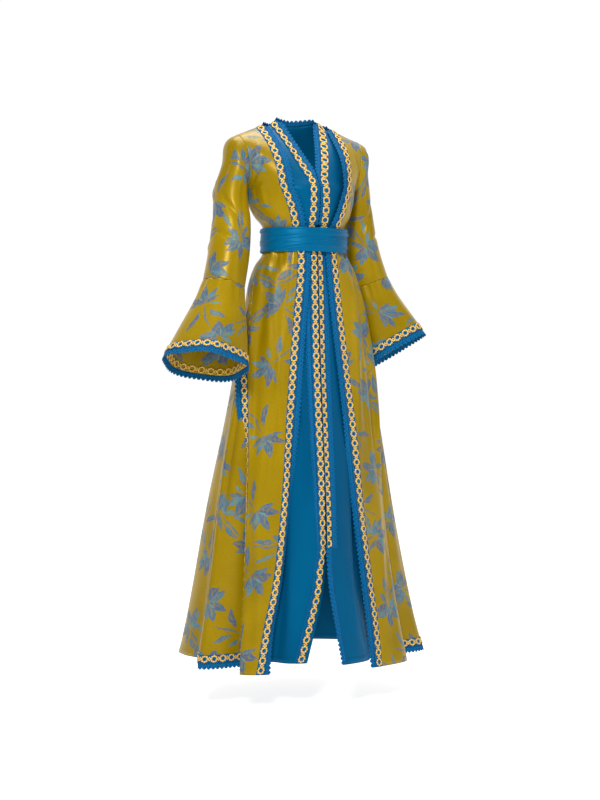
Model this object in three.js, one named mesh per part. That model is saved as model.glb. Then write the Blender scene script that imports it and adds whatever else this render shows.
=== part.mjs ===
// A moroccan kaftan, worn: a long open robe over a long dress, held at the waist by a wound sash.
// Millimetres, +Z up, the wearer faces -Y and the wearer's left is +X. Heights in the tables are above
// the wearer's bare soles, which stand on high heels here, so the hem clears the floor by more than
// FRONT_HEM. The part's origin is between the shoulders, at HOLD_HEIGHT.
import * as THREE from "three";

const HOLD_HEIGHT = 1460;
const CLOTH = 1.5; // wall of every panel
const LACE = 1.0; // wall of braids and laces
const SEAM_GAP = 0.3; // between two pieces that are sewn edge to edge
const BRAID_WIDTH = 20;
const LACE_WIDTH = 18;
const BORDER = BRAID_WIDTH + 2; // flat first facet of a panel, which carries a braid
const DRESS_BORDER = BRAID_WIDTH + LACE_WIDTH + 3; // the same, for a braid with a lace beside it
const UNDERARM_EASE = 1.5; // the sleeve stands this far off the side seam at the underarm
const FRONT_HEM = 25;
const BACK_HEM = 52;
const DRESS_HEM = 48;
const DRESS_SLIT_TOP = 350;
const UNDER_BRAID = 12; // what shows of the dress's left braid below the belt
const ARMPIT = 1313;
const SLIT_TOP = 1110;
const ARMHOLE_ROWS = 8;
const RIGHT = -1;
const LEFT = 1;

// ---- Tables: a row for each height, with named columns ------------------------------------------

function table(columns, ...rows) {
  return rows.map((row) => Object.fromEntries(columns.map((name, i) => [name, row[i]])));
}

// The ring that the robe follows: half widths, depths to front and back, the depth of its widest
// point, the distance of the front edges from the centre, and the angles from the centre front of
// the slit and of the godet's back seam.
const RING_COLUMNS = [
  "z", "halfRight", "halfLeft", "frontRight", "frontLeft", "back", "sideY", "edgeRight", "edgeLeft",
];
const ROBE = table(
  [...RING_COLUMNS, "slit", "godet"],
  [25, 330, 372, 142, 172, 322, 0, 176, 138, 47, 98],
  [140, 310, 342, 134, 154, 296, 0, 156, 136, 49, 97],
  [260, 290, 316, 128, 136, 268, 0, 130, 128, 51, 96],
  [480, 256, 270, 122, 122, 226, 0, 103, 103, 56, 94],
  [745, 206, 224, 108, 108, 176, 0, 76, 76, 67, 92],
  [880, 184, 203, 99, 99, 154, 0, 62, 62, 76, 91],
  [1000, 164, 179, 93, 93, 136, 0, 49, 49, 82, 90],
  [1070, 151, 156, 92, 92, 124, 0, 42, 42, 86, 90],
  [1110, 135, 138, 90, 90, 110, 0, 39, 39, 88.5, 90],
  [1135, 117, 118, 88.5, 88.5, 96, 0, 38, 38, 90, 90],
  [1176, 113, 113, 88.5, 88.5, 92, 0, 44, 44, 90, 90],
  [1214, 116, 116, 93, 93, 95, 6, 53, 53, 90, 90],
  [1235, 133, 133, 101, 101, 103, 16, 60, 60, 90, 90],
  [1265, 146, 146, 107, 107, 111, 30, 70, 70, 90, 90],
  [1313, 158, 158, 108, 108, 119, 46, 88, 88, 90, 90],
);

// The ring that the dress follows.
const DRESS = table(
  RING_COLUMNS,
  [48, 205, 225, 139, 197, 205, 0, 56, 19],
  [140, 192, 208, 137, 178, 190, 0, 32, 10],
  [260, 180, 192, 134, 150, 176, 0, 5, 2],
  [480, 158, 166, 129, 131, 152, 0, 1, 1],
  [745, 136, 140, 107, 107, 126, 0, 1, 1],
  [880, 126, 128, 96, 96, 114, 0, 1, 1],
  [1000, 118, 120, 90, 90, 105, 0, 1, 1],
  [1070, 114, 114, 87, 87, 98, 0, 1, 1],
  [1110, 110, 110, 84, 84, 93, 0, 1, 1],
  [1135, 107, 107, 82, 82, 88, 0, 1, 1],
  [1176, 104, 104, 82, 82, 85, 0, 4, 4],
  [1214, 107, 107, 86, 86, 88, 6, 8, 8],
  [1235, 117, 117, 93, 93, 92, 16, 8, 8],
  [1265, 130, 130, 98, 98, 100, 29, 8, 8],
  [1313, 142, 142, 98, 98, 108, 44, 8, 8],
);

// Lengthwise folds of the robe's skirt: side, angle, half width in degrees, depth at the hem (out is
// positive) and the height where the fold starts.
const FOLD_COLUMNS = ["side", "angle", "spread", "depth", "top"];
const ROBE_FOLDS = table(
  FOLD_COLUMNS,
  [RIGHT, 60, 11, -58, 1010],
  [RIGHT, 78, 9, 10, 900],
  [RIGHT, 97, 7, -30, 850],
  [RIGHT, 118, 9, 22, 1000],
  [RIGHT, 138, 9, -26, 950],
  [RIGHT, 158, 9, 18, 1050],
  [LEFT, 56, 9, -34, 1010],
  [LEFT, 74, 9, 12, 900],
  [LEFT, 98, 8, -26, 900],
  [LEFT, 120, 9, 20, 1050],
  [LEFT, 142, 9, -24, 900],
  [LEFT, 162, 8, 14, 1000],
  [RIGHT, 180, 8, -16, 950],
  [LEFT, 180, 8, -16, 950],
);

const DRESS_FOLDS = table(
  FOLD_COLUMNS,
  [RIGHT, 45, 11, -22, 700],
  [RIGHT, 62, 14, -14, 800],
  [RIGHT, 120, 16, 12, 900],
  [LEFT, 42, 10, -18, 700],
  [LEFT, 66, 14, -14, 800],
  [LEFT, 120, 16, 12, 900],
);

// The sections of the sleeves: centre (x away from the body), the radii away from the body and front
// to back, the rise of the outer side and the drop of the back side, in degrees.
const SLEEVE_COLUMNS = ["x", "y", "z", "across", "depth", "rise", "drop"];
const ARMHOLE = [168, 46, 1384, 73, 57, 82, 0];
const SLEEVES = {
  [RIGHT]: table(
    SLEEVE_COLUMNS,
    ARMHOLE,
    [184, 44, 1374, 69, 57, 72, 0],
    [190, 38, 1346, 50, 56, 56, 0],
    [203, 28, 1300, 46, 56, 28, 0],
    [210, 10, 1230, 50, 56, 13, 3],
    [225, -8, 1140, 54, 57, 13, 6],
    [246, -20, 1050, 56, 60, 15, 9],
  ),
  [LEFT]: table(
    SLEEVE_COLUMNS,
    ARMHOLE,
    [184, 46, 1374, 69, 57, 72, 0],
    [186, 52, 1346, 43, 56, 56, 0],
    [191, 60, 1300, 38, 54, 28, 0],
    [196, 64, 1230, 45, 54, 13, 2],
    [208, 62, 1140, 52, 56, 14, 5],
    [228, 58, 1062, 56, 60, 18, 9],
  ),
};
const FLOUNCES = {
  [RIGHT]: table(
    SLEEVE_COLUMNS,
    [246, -20, 1050, 56, 60, 15, 9],
    [262, -28, 990, 70, 76, 15, 11],
    [286, -38, 915, 91, 98, 14, 13],
    [303, -46, 868, 103, 111, 13.5, 14],
    [309, -48, 850, 108, 117, 13.5, 15],
  ),
  [LEFT]: table(
    SLEEVE_COLUMNS,
    [228, 58, 1062, 56, 60, 18, 9],
    [246, 58, 1010, 68, 74, 20, 13],
    [275, 59, 941, 86, 94, 23, 17],
    [294, 60, 898, 97, 106, 25, 20],
    [301, 60, 880, 101, 111, 25, 20],
  ),
};
const FLOUNCE_WAVES = 5;
const FLOUNCE_WAVE_DEPTH = 5;

// Where each garment ends at the top: neck point on the shoulder ridge, back of the neck, armhole.
const ROBE_TOP = {
  neck: new THREE.Vector3(102, 47, 1487),
  backNeck: new THREE.Vector3(0, 104, 1478),
  armhole: table(SLEEVE_COLUMNS, ARMHOLE)[0],
  vBottom: 0, // the front edge starts to spread at the armpit
  chest: 32, // how far the front edge stands out from a straight line up to the neck point
};
const DRESS_TOP = {
  neck: new THREE.Vector3(64, 47, 1502),
  backNeck: new THREE.Vector3(0, 92, 1492),
  armhole: table(SLEEVE_COLUMNS, [142, 44, 1378, 65, 52, 90, 0])[0],
  vBottom: 0.13, // share of the height from armpit to neck where the neckline opens
  chest: 6,
};
const NECK_SHARE = 0.6; // of the back's top edge that is neckline, the rest is shoulder seam

const BELT = { low: 1141, high: 1205, halfWidth: 119.5, front: 97, back: 99, gap: 3.2 };

// ---- Curves ---------------------------------------------------------------------------------------

const radians = THREE.MathUtils.degToRad;
const mix = THREE.MathUtils.lerp;
const clamp01 = (x) => THREE.MathUtils.clamp(x, 0, 1);

// A column of a table at height z, on a cubic through its rows.
function at(rows, z, name) {
  const last = rows.length - 1;
  let i = 0;
  while (i < last - 1 && z > rows[i + 1].z) i++;
  const slope = (a, b) => (rows[b][name] - rows[a][name]) / (rows[b].z - rows[a].z);
  const span = rows[i + 1].z - rows[i].z;
  const t = clamp01((z - rows[i].z) / span);
  const here = slope(i, i + 1);
  const before = i > 0 ? (slope(i - 1, i) + here) / 2 : here;
  const after = i + 1 < last ? (slope(i + 1, i + 2) + here) / 2 : here;
  const [a, b] = [rows[i][name], rows[i + 1][name]];
  return (
    a * (1 + 2 * t) * (1 - t) ** 2 +
    b * (3 - 2 * t) * t * t +
    span * (before * t * (1 - t) ** 2 - after * t * t * (1 - t))
  );
}

function foldDepth(folds, side, degrees, z, hem) {
  return folds
    .filter((f) => f.side === side && z < f.top)
    .map((f) => {
      const growth = ((f.top - z) / (f.top - hem)) ** 1.4;
      return f.depth * growth * Math.exp(-(((degrees - f.angle) / f.spread) ** 2));
    })
    .reduce((sum, d) => sum + d, 0);
}

// A point of a garment's ring: 0 degrees is the centre front, 90 the side, 180 the centre back.
function ringPoint(rows, folds, side, degrees, z) {
  const name = side === RIGHT ? "Right" : "Left";
  const half = at(rows, z, "half" + name);
  const middle = at(rows, z, "sideY");
  const depth = degrees < 90 ? at(rows, z, "front" + name) + middle : at(rows, z, "back") - middle;
  const [s, c] = [Math.sin(radians(degrees)), Math.cos(radians(degrees))];
  const out = foldDepth(folds, side, degrees, z, FRONT_HEM);
  return new THREE.Vector3(side * (half + out) * s, middle - (depth + out) * c, z);
}

// A point of a sleeve's section. Turn 0 is the outer side, 90 the front, 180 the inner side.
function sleevePoint(section, side, turn, wave = 0) {
  const [c, s] = [Math.cos(radians(turn)), Math.sin(radians(turn))];
  const across = (section.across + wave) * c;
  const depth = -(section.depth + wave) * s;
  return new THREE.Vector3(
    side * (section.x + across * Math.cos(radians(section.rise))),
    section.y + depth * Math.cos(radians(section.drop)),
    section.z + across * Math.sin(radians(section.rise)) - depth * Math.sin(radians(section.drop)),
  );
}

// ---- Panels of the body: each row is a curve from share 0 to share 1 ------------------------------

// A patch between four edge curves: bottom and top run over s, start and end over w.
function patch(bottom, top, start, end) {
  return (s, w) => {
    const p = new THREE.Vector3();
    p.addScaledVector(start(w), 1 - s).addScaledVector(end(w), s);
    p.addScaledVector(bottom(s), 1 - w).addScaledVector(top(s), w);
    p.addScaledVector(bottom(0), -(1 - s) * (1 - w)).addScaledVector(bottom(1), -s * (1 - w));
    return p.addScaledVector(top(0), -(1 - s) * w).addScaledVector(top(1), -s * w);
  };
}

const onSide = (point, side) => new THREE.Vector3(side * point.x, point.y, point.z);

function armholePoint(garment, side, w, toFront) {
  return sleevePoint(garment.top.armhole, side, toFront * 180 * (1 - w));
}

function edgeAngle(garment, side, z) {
  const name = side === RIGHT ? "Right" : "Left";
  const share = at(garment.rows, z, "edge" + name) / at(garment.rows, z, "half" + name);
  return THREE.MathUtils.radToDeg(Math.asin(share));
}

function frontRow(garment, side, sideAngle) {
  const ring = (degrees, z) => ringPoint(garment.rows, garment.folds, side, degrees, z);
  const low = (s, z) => ring(mix(edgeAngle(garment, side, z), sideAngle(z), s), z);
  const corner = low(0, ARMPIT);
  const neck = onSide(garment.top.neck, side);
  const shoulder = armholePoint(garment, side, 1, 1);
  const spread = (w) => clamp01((w - garment.top.vBottom) / (1 - garment.top.vBottom)) ** 0.85;
  const high = patch(
    (s) => low(s, ARMPIT),
    (s) => neck.clone().lerp(shoulder, s),
    (w) => {
      const p = corner.clone().lerp(neck, w).setX(mix(corner.x, neck.x, spread(w)));
      return p.setY(p.y - garment.top.chest * Math.sin(Math.PI * w));
    },
    (w) => armholePoint(garment, side, w, 1),
  );
  return { low, high };
}

function backRow(garment, side, sideAngle) {
  const ring = (degrees, z) => ringPoint(garment.rows, garment.folds, side, degrees, z);
  const low = (s, z) => ring(mix(180, sideAngle(z), s), z);
  const neck = onSide(garment.top.neck, side);
  const shoulder = armholePoint(garment, side, 1, -1);
  const centre = garment.top.backNeck;
  const neckline = (share) => {
    const turn = (share * Math.PI) / 2;
    const y = mix(neck.y, centre.y, Math.cos(turn));
    return new THREE.Vector3(neck.x * Math.sin(turn), y, mix(centre.z, neck.z, share));
  };
  const high = patch(
    (s) => low(s, ARMPIT),
    (s) =>
      s < NECK_SHARE
        ? neckline(s / NECK_SHARE)
        : neck.clone().lerp(shoulder, (s - NECK_SHARE) / (1 - NECK_SHARE)),
    (w) => low(0, ARMPIT).lerp(centre, w),
    (w) => armholePoint(garment, side, w, -1),
  );
  return { low, high };
}

const WAIST_LEVELS = [SLIT_TOP, 1135, 1176, 1214, 1265, ARMPIT];
const ROBE_LEVELS = [180, 260, 365, 480, 610, 745, 880, 1000, 1070, ...WAIST_LEVELS];
const ROBE_GARMENT = { rows: ROBE, folds: ROBE_FOLDS, top: ROBE_TOP, border: BORDER };
const frontHeights = [FRONT_HEM, 110, ...ROBE_LEVELS];
const backHeights = [BACK_HEM, BACK_HEM + BORDER, 110, ...ROBE_LEVELS];
const DRESS_GARMENT = { rows: DRESS, folds: DRESS_FOLDS, top: DRESS_TOP, border: DRESS_BORDER };
const dressHeights = [DRESS_HEM, 140, 240, 350, 540, 745, 1000, ...WAIST_LEVELS];

// Points of a row at stations: the borders keep their width, the rest is shared out.
function stations(curve, columns, firstBorder, lastBorder) {
  const line = Array.from({ length: 61 }, (_, i) => curve(i / 60));
  const run = [0];
  for (let i = 1; i < line.length; i++) run.push(run[i - 1] + line[i].distanceTo(line[i - 1]));
  const total = run[run.length - 1];
  const from = firstBorder ? Math.min(firstBorder, total * 0.3) : 0;
  const to = total - (lastBorder ? Math.min(lastBorder, total * 0.3) : 0);
  const inner = columns - (firstBorder ? 1 : 0) - (lastBorder ? 1 : 0);
  const places = [];
  if (firstBorder) places.push(0);
  for (let i = 0; i <= inner; i++) places.push(mix(from, to, i / inner));
  if (lastBorder) places.push(total);
  return places.map((d) => {
    let i = 0;
    while (i < run.length - 2 && run[i + 1] < d) i++;
    return line[i].clone().lerp(line[i + 1], (d - run[i]) / (run[i + 1] - run[i]));
  });
}

// ---- Grids: rows of points, with a normal at each -------------------------------------------------

function grid(points, { closed = false, outward }) {
  const rows = points.length;
  const columns = points[0].length;
  const normals = points.map((row, r) =>
    row.map((_, c) => {
      const up = points[Math.min(r + 1, rows - 1)][c].clone().sub(points[Math.max(r - 1, 0)][c]);
      const next = closed ? (c + 1) % columns : Math.min(c + 1, columns - 1);
      const previous = closed ? (c + columns - 1) % columns : Math.max(c - 1, 0);
      const along = row[next].clone().sub(row[previous]);
      const normal = along.cross(up).normalize();
      return outward(points[r][c], normal) < 0 ? normal.negate() : normal;
    }),
  );
  return { points, normals, closed };
}

// Pieces that share a seam get the same normals along it, so that their walls meet face to face.
function weld(grids, top) {
  const each = (visit) =>
    grids.forEach((g) => g.points.forEach((row, r) => row.forEach((p, c) => visit(g, p, r, c))));
  const shared = new Map();
  const key = (p) => p.toArray().map((x) => Math.round(10 * x + 0.03)).join(",");
  each((g, p, r, c) => {
    if (!shared.has(key(p))) shared.set(key(p), new THREE.Vector3());
    shared.get(key(p)).add(g.normals[r][c]);
  });
  each((g, p, r, c) => g.normals[r][c].copy(shared.get(key(p))).normalize());
  for (const side of [RIGHT, LEFT]) {
    const seam = new THREE.Line3(onSide(top.neck, side), sleevePoint(top.armhole, side, 0));
    const upward = seam.delta(new THREE.Vector3()).cross(new THREE.Vector3(0, side, 0)).normalize();
    const nearest = new THREE.Vector3();
    each((g, p, r, c) => {
      if (seam.closestPointToPoint(p, true, nearest).distanceTo(p) < 0.1) g.normals[r][c].copy(upward);
    });
  }
}

// The grid with its sewn edges drawn back by half a seam gap.
function inset(g, { start, end, bottom, top }, back = SEAM_GAP / 2) {
  const points = g.points.map((row) => row.map((p) => p.clone()));
  const pull = (p, towards) => p.add(towards.clone().sub(p).setLength(back));
  const last = points.length - 1;
  const side = points[0].length - 1;
  if (start) points.forEach((row) => pull(row[0], row[1]));
  if (end) points.forEach((row) => pull(row[side], row[side - 1]));
  if (bottom) points[0].forEach((p, c) => pull(p, points[1][c]));
  if (top) points[last].forEach((p, c) => pull(p, points[last - 1][c]));
  return { ...g, points };
}

// A closed wall of even thickness about a grid.
function wall(g, thickness) {
  const rows = g.points.length;
  const columns = g.points[0].length;
  const position = [];
  for (const shift of [thickness / 2, -thickness / 2]) {
    g.points.forEach((row, r) =>
      row.forEach((p, c) => position.push(...p.clone().addScaledVector(g.normals[r][c], shift))),
    );
  }
  const outer = (r, c) => r * columns + (c % columns);
  const inner = (r, c) => rows * columns + outer(r, c);
  const index = [];
  const quad = (a, b, c, d) => index.push(a, b, c, a, c, d);
  const spans = g.closed ? columns : columns - 1;
  for (let r = 0; r < rows - 1; r++) {
    for (let c = 0; c < spans; c++) {
      quad(outer(r, c), outer(r, c + 1), outer(r + 1, c + 1), outer(r + 1, c));
      quad(inner(r, c), inner(r + 1, c), inner(r + 1, c + 1), inner(r, c + 1));
    }
    if (!g.closed) {
      quad(outer(r, 0), outer(r + 1, 0), inner(r + 1, 0), inner(r, 0));
      quad(outer(r, spans), inner(r, spans), inner(r + 1, spans), outer(r + 1, spans));
    }
  }
  for (let c = 0; c < spans; c++) {
    quad(outer(0, c), inner(0, c), inner(0, c + 1), outer(0, c + 1));
    quad(outer(rows - 1, c), outer(rows - 1, c + 1), inner(rows - 1, c + 1), inner(rows - 1, c));
  }
  if (signedVolume(position, index) < 0) index.reverse();
  const geometry = new THREE.BufferGeometry();
  geometry.setAttribute("position", new THREE.Float32BufferAttribute(position, 3));
  geometry.setIndex(index);
  return geometry;
}

function signedVolume(position, index) {
  const corner = (i) => new THREE.Vector3().fromArray(position, 3 * index[i]);
  let sum = 0;
  for (let i = 0; i < index.length; i += 3) sum += corner(i).dot(corner(i + 1).cross(corner(i + 2)));
  return sum;
}

// A strip along one edge of a panel, from one distance in from that edge to another; a distance
// below 0 is beyond the edge. It is lifted off the panel's middle surface.
function strip(g, edge, from, to, lift, keep = () => true) {
  const upright = edge === "start" || edge === "end";
  const rows = g.points.length;
  const columns = g.points[0].length;
  const far = edge === "end" || edge === "top";
  const cell = (i, inward) => {
    const step = far ? (upright ? columns : rows) - 1 - inward : inward;
    return upright ? [i, step] : [step, i];
  };
  const lines = [];
  for (let i = 0; i < (upright ? rows : columns); i++) {
    const [r0, c0] = cell(i, 0);
    const [r1, c1] = cell(i, 1);
    const edgePoint = g.points[r0][c0];
    if (!keep(edgePoint)) continue;
    const inwards = g.points[r1][c1].clone().sub(edgePoint);
    const line = [from, to].map((place) => {
      const share = (typeof place === "function" ? place(edgePoint) : place) / inwards.length();
      const normal = g.normals[r0][c0].clone().lerp(g.normals[r1][c1], clamp01(share)).normalize();
      const point = edgePoint.clone().addScaledVector(inwards, share).addScaledVector(normal, lift);
      return { normal, point };
    });
    lines.push(far ? line.reverse() : line);
  }
  const pick = (name) => {
    const across = lines.map((line) => line.map((place) => place[name]));
    return upright ? across : [0, 1].map((k) => across.map((pair) => pair[k]));
  };
  return { points: pick("point"), normals: pick("normal"), closed: g.closed && !upright };
}

// ---- The robe and the dress -----------------------------------------------------------------------

const fromBody = (p, normal) => {
  const inside = p.z > ARMPIT ? new THREE.Vector3(p.x / 2, ARMHOLE[1], ARMPIT) : new THREE.Vector3(0, 0, p.z);
  return p.clone().sub(inside).dot(normal);
};

function bodyGrid(row, zs, columns, place) {
  const lowRows = zs.map((z) => place((s) => row.low(s, z), columns));
  const highRows = Array.from({ length: ARMHOLE_ROWS }, (_, k) =>
    place((s) => row.high(s, (k + 1) / ARMHOLE_ROWS), columns),
  );
  return grid([...lowRows, ...highRows], { outward: fromBody });
}

function frontGrid(garment, side, zs, columns, sideAngle, sideBorder) {
  const row = frontRow(garment, side, sideAngle);
  const place = (curve, n) => stations(curve, n, garment.border, sideBorder);
  return bodyGrid(row, zs, columns, place);
}

function backGrid(garment, zs, columnsEachSide, sideAngle) {
  const halves = [RIGHT, LEFT].map((side) => backRow(garment, side, sideAngle));
  const both = (curves) => [
    ...Array.from({ length: columnsEachSide }, (_, i) => curves[0](1 - i / columnsEachSide)),
    ...Array.from({ length: columnsEachSide + 1 }, (_, i) => curves[1](i / columnsEachSide)),
  ];
  const lowRows = zs.map((z) => both(halves.map((h) => (s) => h.low(s, z))));
  const highRows = Array.from({ length: ARMHOLE_ROWS }, (_, k) =>
    both(halves.map((h) => (s) => h.high(s, (k + 1) / ARMHOLE_ROWS))),
  );
  return grid([...lowRows, ...highRows], { outward: fromBody });
}

// The godet fills the side below the slit's top, tucked in behind the front panel's edge.
function godetGrid(side) {
  const tuck = (z) => mix(34, 3, clamp01((z - BACK_HEM) / (SLIT_TOP - BACK_HEM)) ** 1.5);
  const points = backHeights
    .filter((z) => z <= SLIT_TOP)
    .map((z) =>
      Array.from({ length: 5 }, (_, i) => {
        const degrees = mix(at(ROBE, z, "slit"), at(ROBE, z, "godet"), i / 4);
        const p = ringPoint(ROBE, ROBE_FOLDS, side, degrees, z);
        const inward = tuck(z) * (1 - i / 4);
        return p.addScaledVector(new THREE.Vector3(-p.x, -p.y, 0).normalize(), inward);
      }),
    );
  return grid(points, { outward: fromBody });
}

function sleeveGrid(sections, side, turns, wave = () => 0) {
  const last = sections.length - 1;
  const points = sections.map((section, i) =>
    Array.from({ length: turns }, (_, k) => {
      const turn = (360 * k) / turns;
      const p = sleevePoint(section, side, turn, wave(turn, i / last));
      const underarm = section === sections[0] ? clamp01((-Math.cos(radians(turn)) - 0.8) / 0.2) : 0;
      return p.setX(p.x + side * UNDERARM_EASE * underarm);
    }),
  );
  const centres = sections.map((s) => new THREE.Vector3(side * s.x, s.y, s.z));
  const nearest = (p) => centres.reduce((a, b) => (p.distanceTo(a) < p.distanceTo(b) ? a : b));
  return grid(points, { closed: true, outward: (p, normal) => p.clone().sub(nearest(p)).dot(normal) });
}

const flounceWave = (turn, share) => FLOUNCE_WAVE_DEPTH * share * Math.cos(radians(FLOUNCE_WAVES * turn));

// ---- The sash ---------------------------------------------------------------------------------------

// A stretch of the sash between two angles from the centre front, counted towards the wearer's left.
function beltGrid(fromAngle, toAngle, columns, low, high, layer) {
  const grow = layer * BELT.gap;
  const closed = toAngle - fromAngle === 360;
  const count = closed ? columns : columns + 1;
  const shares = layer ? [0, 0.5, 1] : [0, 1]; // only the outer layer bows out
  const points = shares.map((share) =>
    Array.from({ length: count }, (_, i) => {
      const degrees = mix(fromAngle, toAngle, i / columns);
      const [s, c] = [Math.sin(radians(degrees)), Math.cos(radians(degrees))];
      const bow = 1.5 * Math.sin(Math.PI * share);
      const depth = (c > 0 ? BELT.front : BELT.back) + grow + bow;
      return new THREE.Vector3(
        (BELT.halfWidth + grow + bow) * s,
        -depth * c,
        mix(low(i / columns), high(i / columns), share),
      );
    }),
  );
  return grid(points, { closed, outward: fromBody });
}

// ---- Assembly ---------------------------------------------------------------------------------------

const FINISH = {
  satin: new THREE.MeshStandardMaterial({ color: 0xb08e0c, roughness: 0.45, side: THREE.DoubleSide }),
  blue: new THREE.MeshStandardMaterial({ color: 0x0d6aa5, roughness: 0.5, side: THREE.DoubleSide }),
  lace: new THREE.MeshStandardMaterial({ color: 0x0a6fae, roughness: 0.8, side: THREE.DoubleSide }),
  braid: new THREE.MeshStandardMaterial({ color: 0xe3b45a, roughness: 0.6, side: THREE.DoubleSide }),
};

const kaftan = new THREE.Group();
const worn = new THREE.Group();
worn.position.z = -HOLD_HEIGHT;
kaftan.add(worn);

function addPiece(name, g, thickness, finish) {
  const mesh = new THREE.Mesh(wall(g, thickness), FINISH[finish]);
  mesh.name = name;
  worn.add(mesh);
}

const SIDES = [
  { side: RIGHT, word: "right" },
  { side: LEFT, word: "left" },
];
const LAID_ON = CLOTH / 2 + 1.2 + LACE / 2; // lift of a trim that lies on its panel
const slitAngle = (z) => at(ROBE, z, "slit");
const godetAngle = (z) => at(ROBE, z, "godet");
const sideSeam = () => 90;

const robeBack = backGrid(ROBE_GARMENT, backHeights, 5, godetAngle);
const dressBack = backGrid(DRESS_GARMENT, dressHeights, 4, sideSeam);
const robeFronts = SIDES.map(({ side }) =>
  frontGrid(ROBE_GARMENT, side, frontHeights, 7, slitAngle, BORDER),
);
const dressFronts = SIDES.map(({ side }) => frontGrid(DRESS_GARMENT, side, dressHeights, 5, sideSeam, 0));
const godets = SIDES.map(({ side }) => godetGrid(side));
const sleeves = SIDES.map(({ side }) => sleeveGrid(SLEEVES[side], side, 2 * ARMHOLE_ROWS));
const flounces = SIDES.map(({ side }) => sleeveGrid(FLOUNCES[side], side, 20, flounceWave));

weld([robeBack, ...robeFronts, ...godets, ...sleeves], ROBE_TOP);
weld([dressBack, ...dressFronts], DRESS_TOP);

// The back of each garment is two panels, with a seam down the centre.
for (const [word, g, finish] of [
  ["robe_back", robeBack, "satin"],
  ["dress_back", dressBack, "blue"],
]) {
  const centre = (g.points[0].length - 1) / 2;
  const part = (rows, from, to) => rows.map((row) => row.slice(from, to));
  const half = (from, to) => ({ ...g, points: part(g.points, from, to), normals: part(g.normals, from, to) });
  const sewn = { start: true, end: true, top: true };
  addPiece(`${word}_right`, inset(half(0, centre + 1), sewn), CLOTH, finish);
  addPiece(`${word}_left`, inset(half(centre, 2 * centre + 1), sewn), CLOTH, finish);
}

const onNeckline = (g) => (p) => Math.abs(p.x) <= g.top.neck.x + 0.01 && p.y >= g.top.neck.y - 0.01;
for (const [word, g, panel] of [
  ["robe", ROBE_GARMENT, robeBack],
  ["dress", DRESS_GARMENT, dressBack],
]) {
  addPiece(`${word}_neck_braid`, strip(panel, "top", 1, 19, LAID_ON, onNeckline(g)), LACE, "braid");
  const neckLace = strip(panel, "top", -SEAM_GAP, -LACE_WIDTH, 0, onNeckline(g));
  addPiece(`${word}_neck_lace`, inset(neckLace, { start: true, end: true }, 2), LACE, "lace");
}

SIDES.forEach(({ side, word }, i) => {
  // The robe's front with its braid and lace, and the same on the slit of the right side.
  const front = robeFronts[i];
  addPiece(`robe_front_${word}`, inset(front, { end: true, top: true }), CLOTH, "satin");
  addPiece(`robe_front_braid_${word}`, strip(front, "start", 1, BRAID_WIDTH, LAID_ON), LACE, "braid");
  addPiece(`robe_front_lace_${word}`, strip(front, "start", -SEAM_GAP, -LACE_WIDTH, 0), LACE, "lace");
  const below = (top) => (p) => p.z <= top;
  if (side === RIGHT) {
    const slitBraid = strip(front, "end", 1, BRAID_WIDTH, LAID_ON, below(1070));
    const slitLace = strip(front, "end", -SEAM_GAP, -LACE_WIDTH, 0, below(1000));
    addPiece("robe_slit_braid_right", slitBraid, LACE, "braid");
    addPiece("robe_slit_lace_right", slitLace, LACE, "lace");
  }

  // The godet behind the slit, with the trimmed hem.
  addPiece(`robe_godet_${word}`, inset(godets[i], { end: true }), CLOTH, "satin");
  addPiece(`robe_hem_braid_${word}`, strip(godets[i], "bottom", 1, BRAID_WIDTH, LAID_ON), LACE, "braid");
  addPiece(`robe_hem_lace_${word}`, strip(godets[i], "bottom", -SEAM_GAP, -LACE_WIDTH, 0), LACE, "lace");

  // The sleeve, its flounce and the trimmed cuff.
  addPiece(`sleeve_${word}`, inset(sleeves[i], { bottom: true, top: true }), CLOTH, "satin");
  addPiece(`flounce_${word}`, inset(flounces[i], { bottom: true }), CLOTH, "satin");
  addPiece(`cuff_braid_${word}`, strip(flounces[i], "top", 1, 18, LAID_ON), LACE, "braid");
  addPiece(`cuff_lace_${word}`, strip(flounces[i], "top", -SEAM_GAP, -LACE_WIDTH, 0), LACE, "lace");

  // The dress: front panel, the braid down its edge, the lace of the neckline, and the lace beside
  // the braid below the belt. There the left edge passes under the right one.
  const dress = dressFronts[i];
  addPiece(`dress_front_${word}`, inset(dress, { end: true, top: true }), CLOTH, "blue");
  const under = side === LEFT;
  const braid = (p) => (under && p.z < BELT.low ? UNDER_BRAID : BRAID_WIDTH);
  const braided = (p) => !under || p.z > DRESS_SLIT_TOP - 1;
  const beside = (p) => (braided(p) ? braid(p) + 1 : 1);
  addPiece(`dress_braid_${word}`, strip(dress, "start", 1, braid, LAID_ON, braided), LACE, "braid");
  const toCentre = (p) => -Math.min(LACE_WIDTH, Math.abs(p.x) - SEAM_GAP);
  const neckLace = strip(dress, "start", -SEAM_GAP, toCentre, 0, (p) => p.z > 1200);
  addPiece(`dress_lace_${word}`, neckLace, LACE, "lace");
  const skirtLace = strip(dress, "start", beside, (p) => beside(p) + LACE_WIDTH, LAID_ON, below(BELT.low));
  addPiece(`dress_skirt_lace_${word}`, skirtLace, LACE, "lace");
});

addPiece("sash_inner", beltGrid(0, 360, 32, () => BELT.low, () => BELT.high, 0), CLOTH, "blue");
const outerTop = (t) => mix(BELT.low + 10, BELT.high - 4, clamp01(t * 1.25) ** 0.8);
addPiece("sash_outer", beltGrid(-101.25, 247.5, 31, () => BELT.low - 2, outerTop, 1), CLOTH, "blue");

export default kaftan;
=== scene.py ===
"""A moroccan kaftan, worn: a long open robe with bell sleeves over a long dress, under a wound sash.

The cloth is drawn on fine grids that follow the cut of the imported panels. Tables are in millimetres
above the wearer's soles; lengths in the code are in metres. Cloth coordinates (u across the panel, v up
it, in metres) are kept as the UV map, and the materials draw on them.
"""

import math

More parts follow.
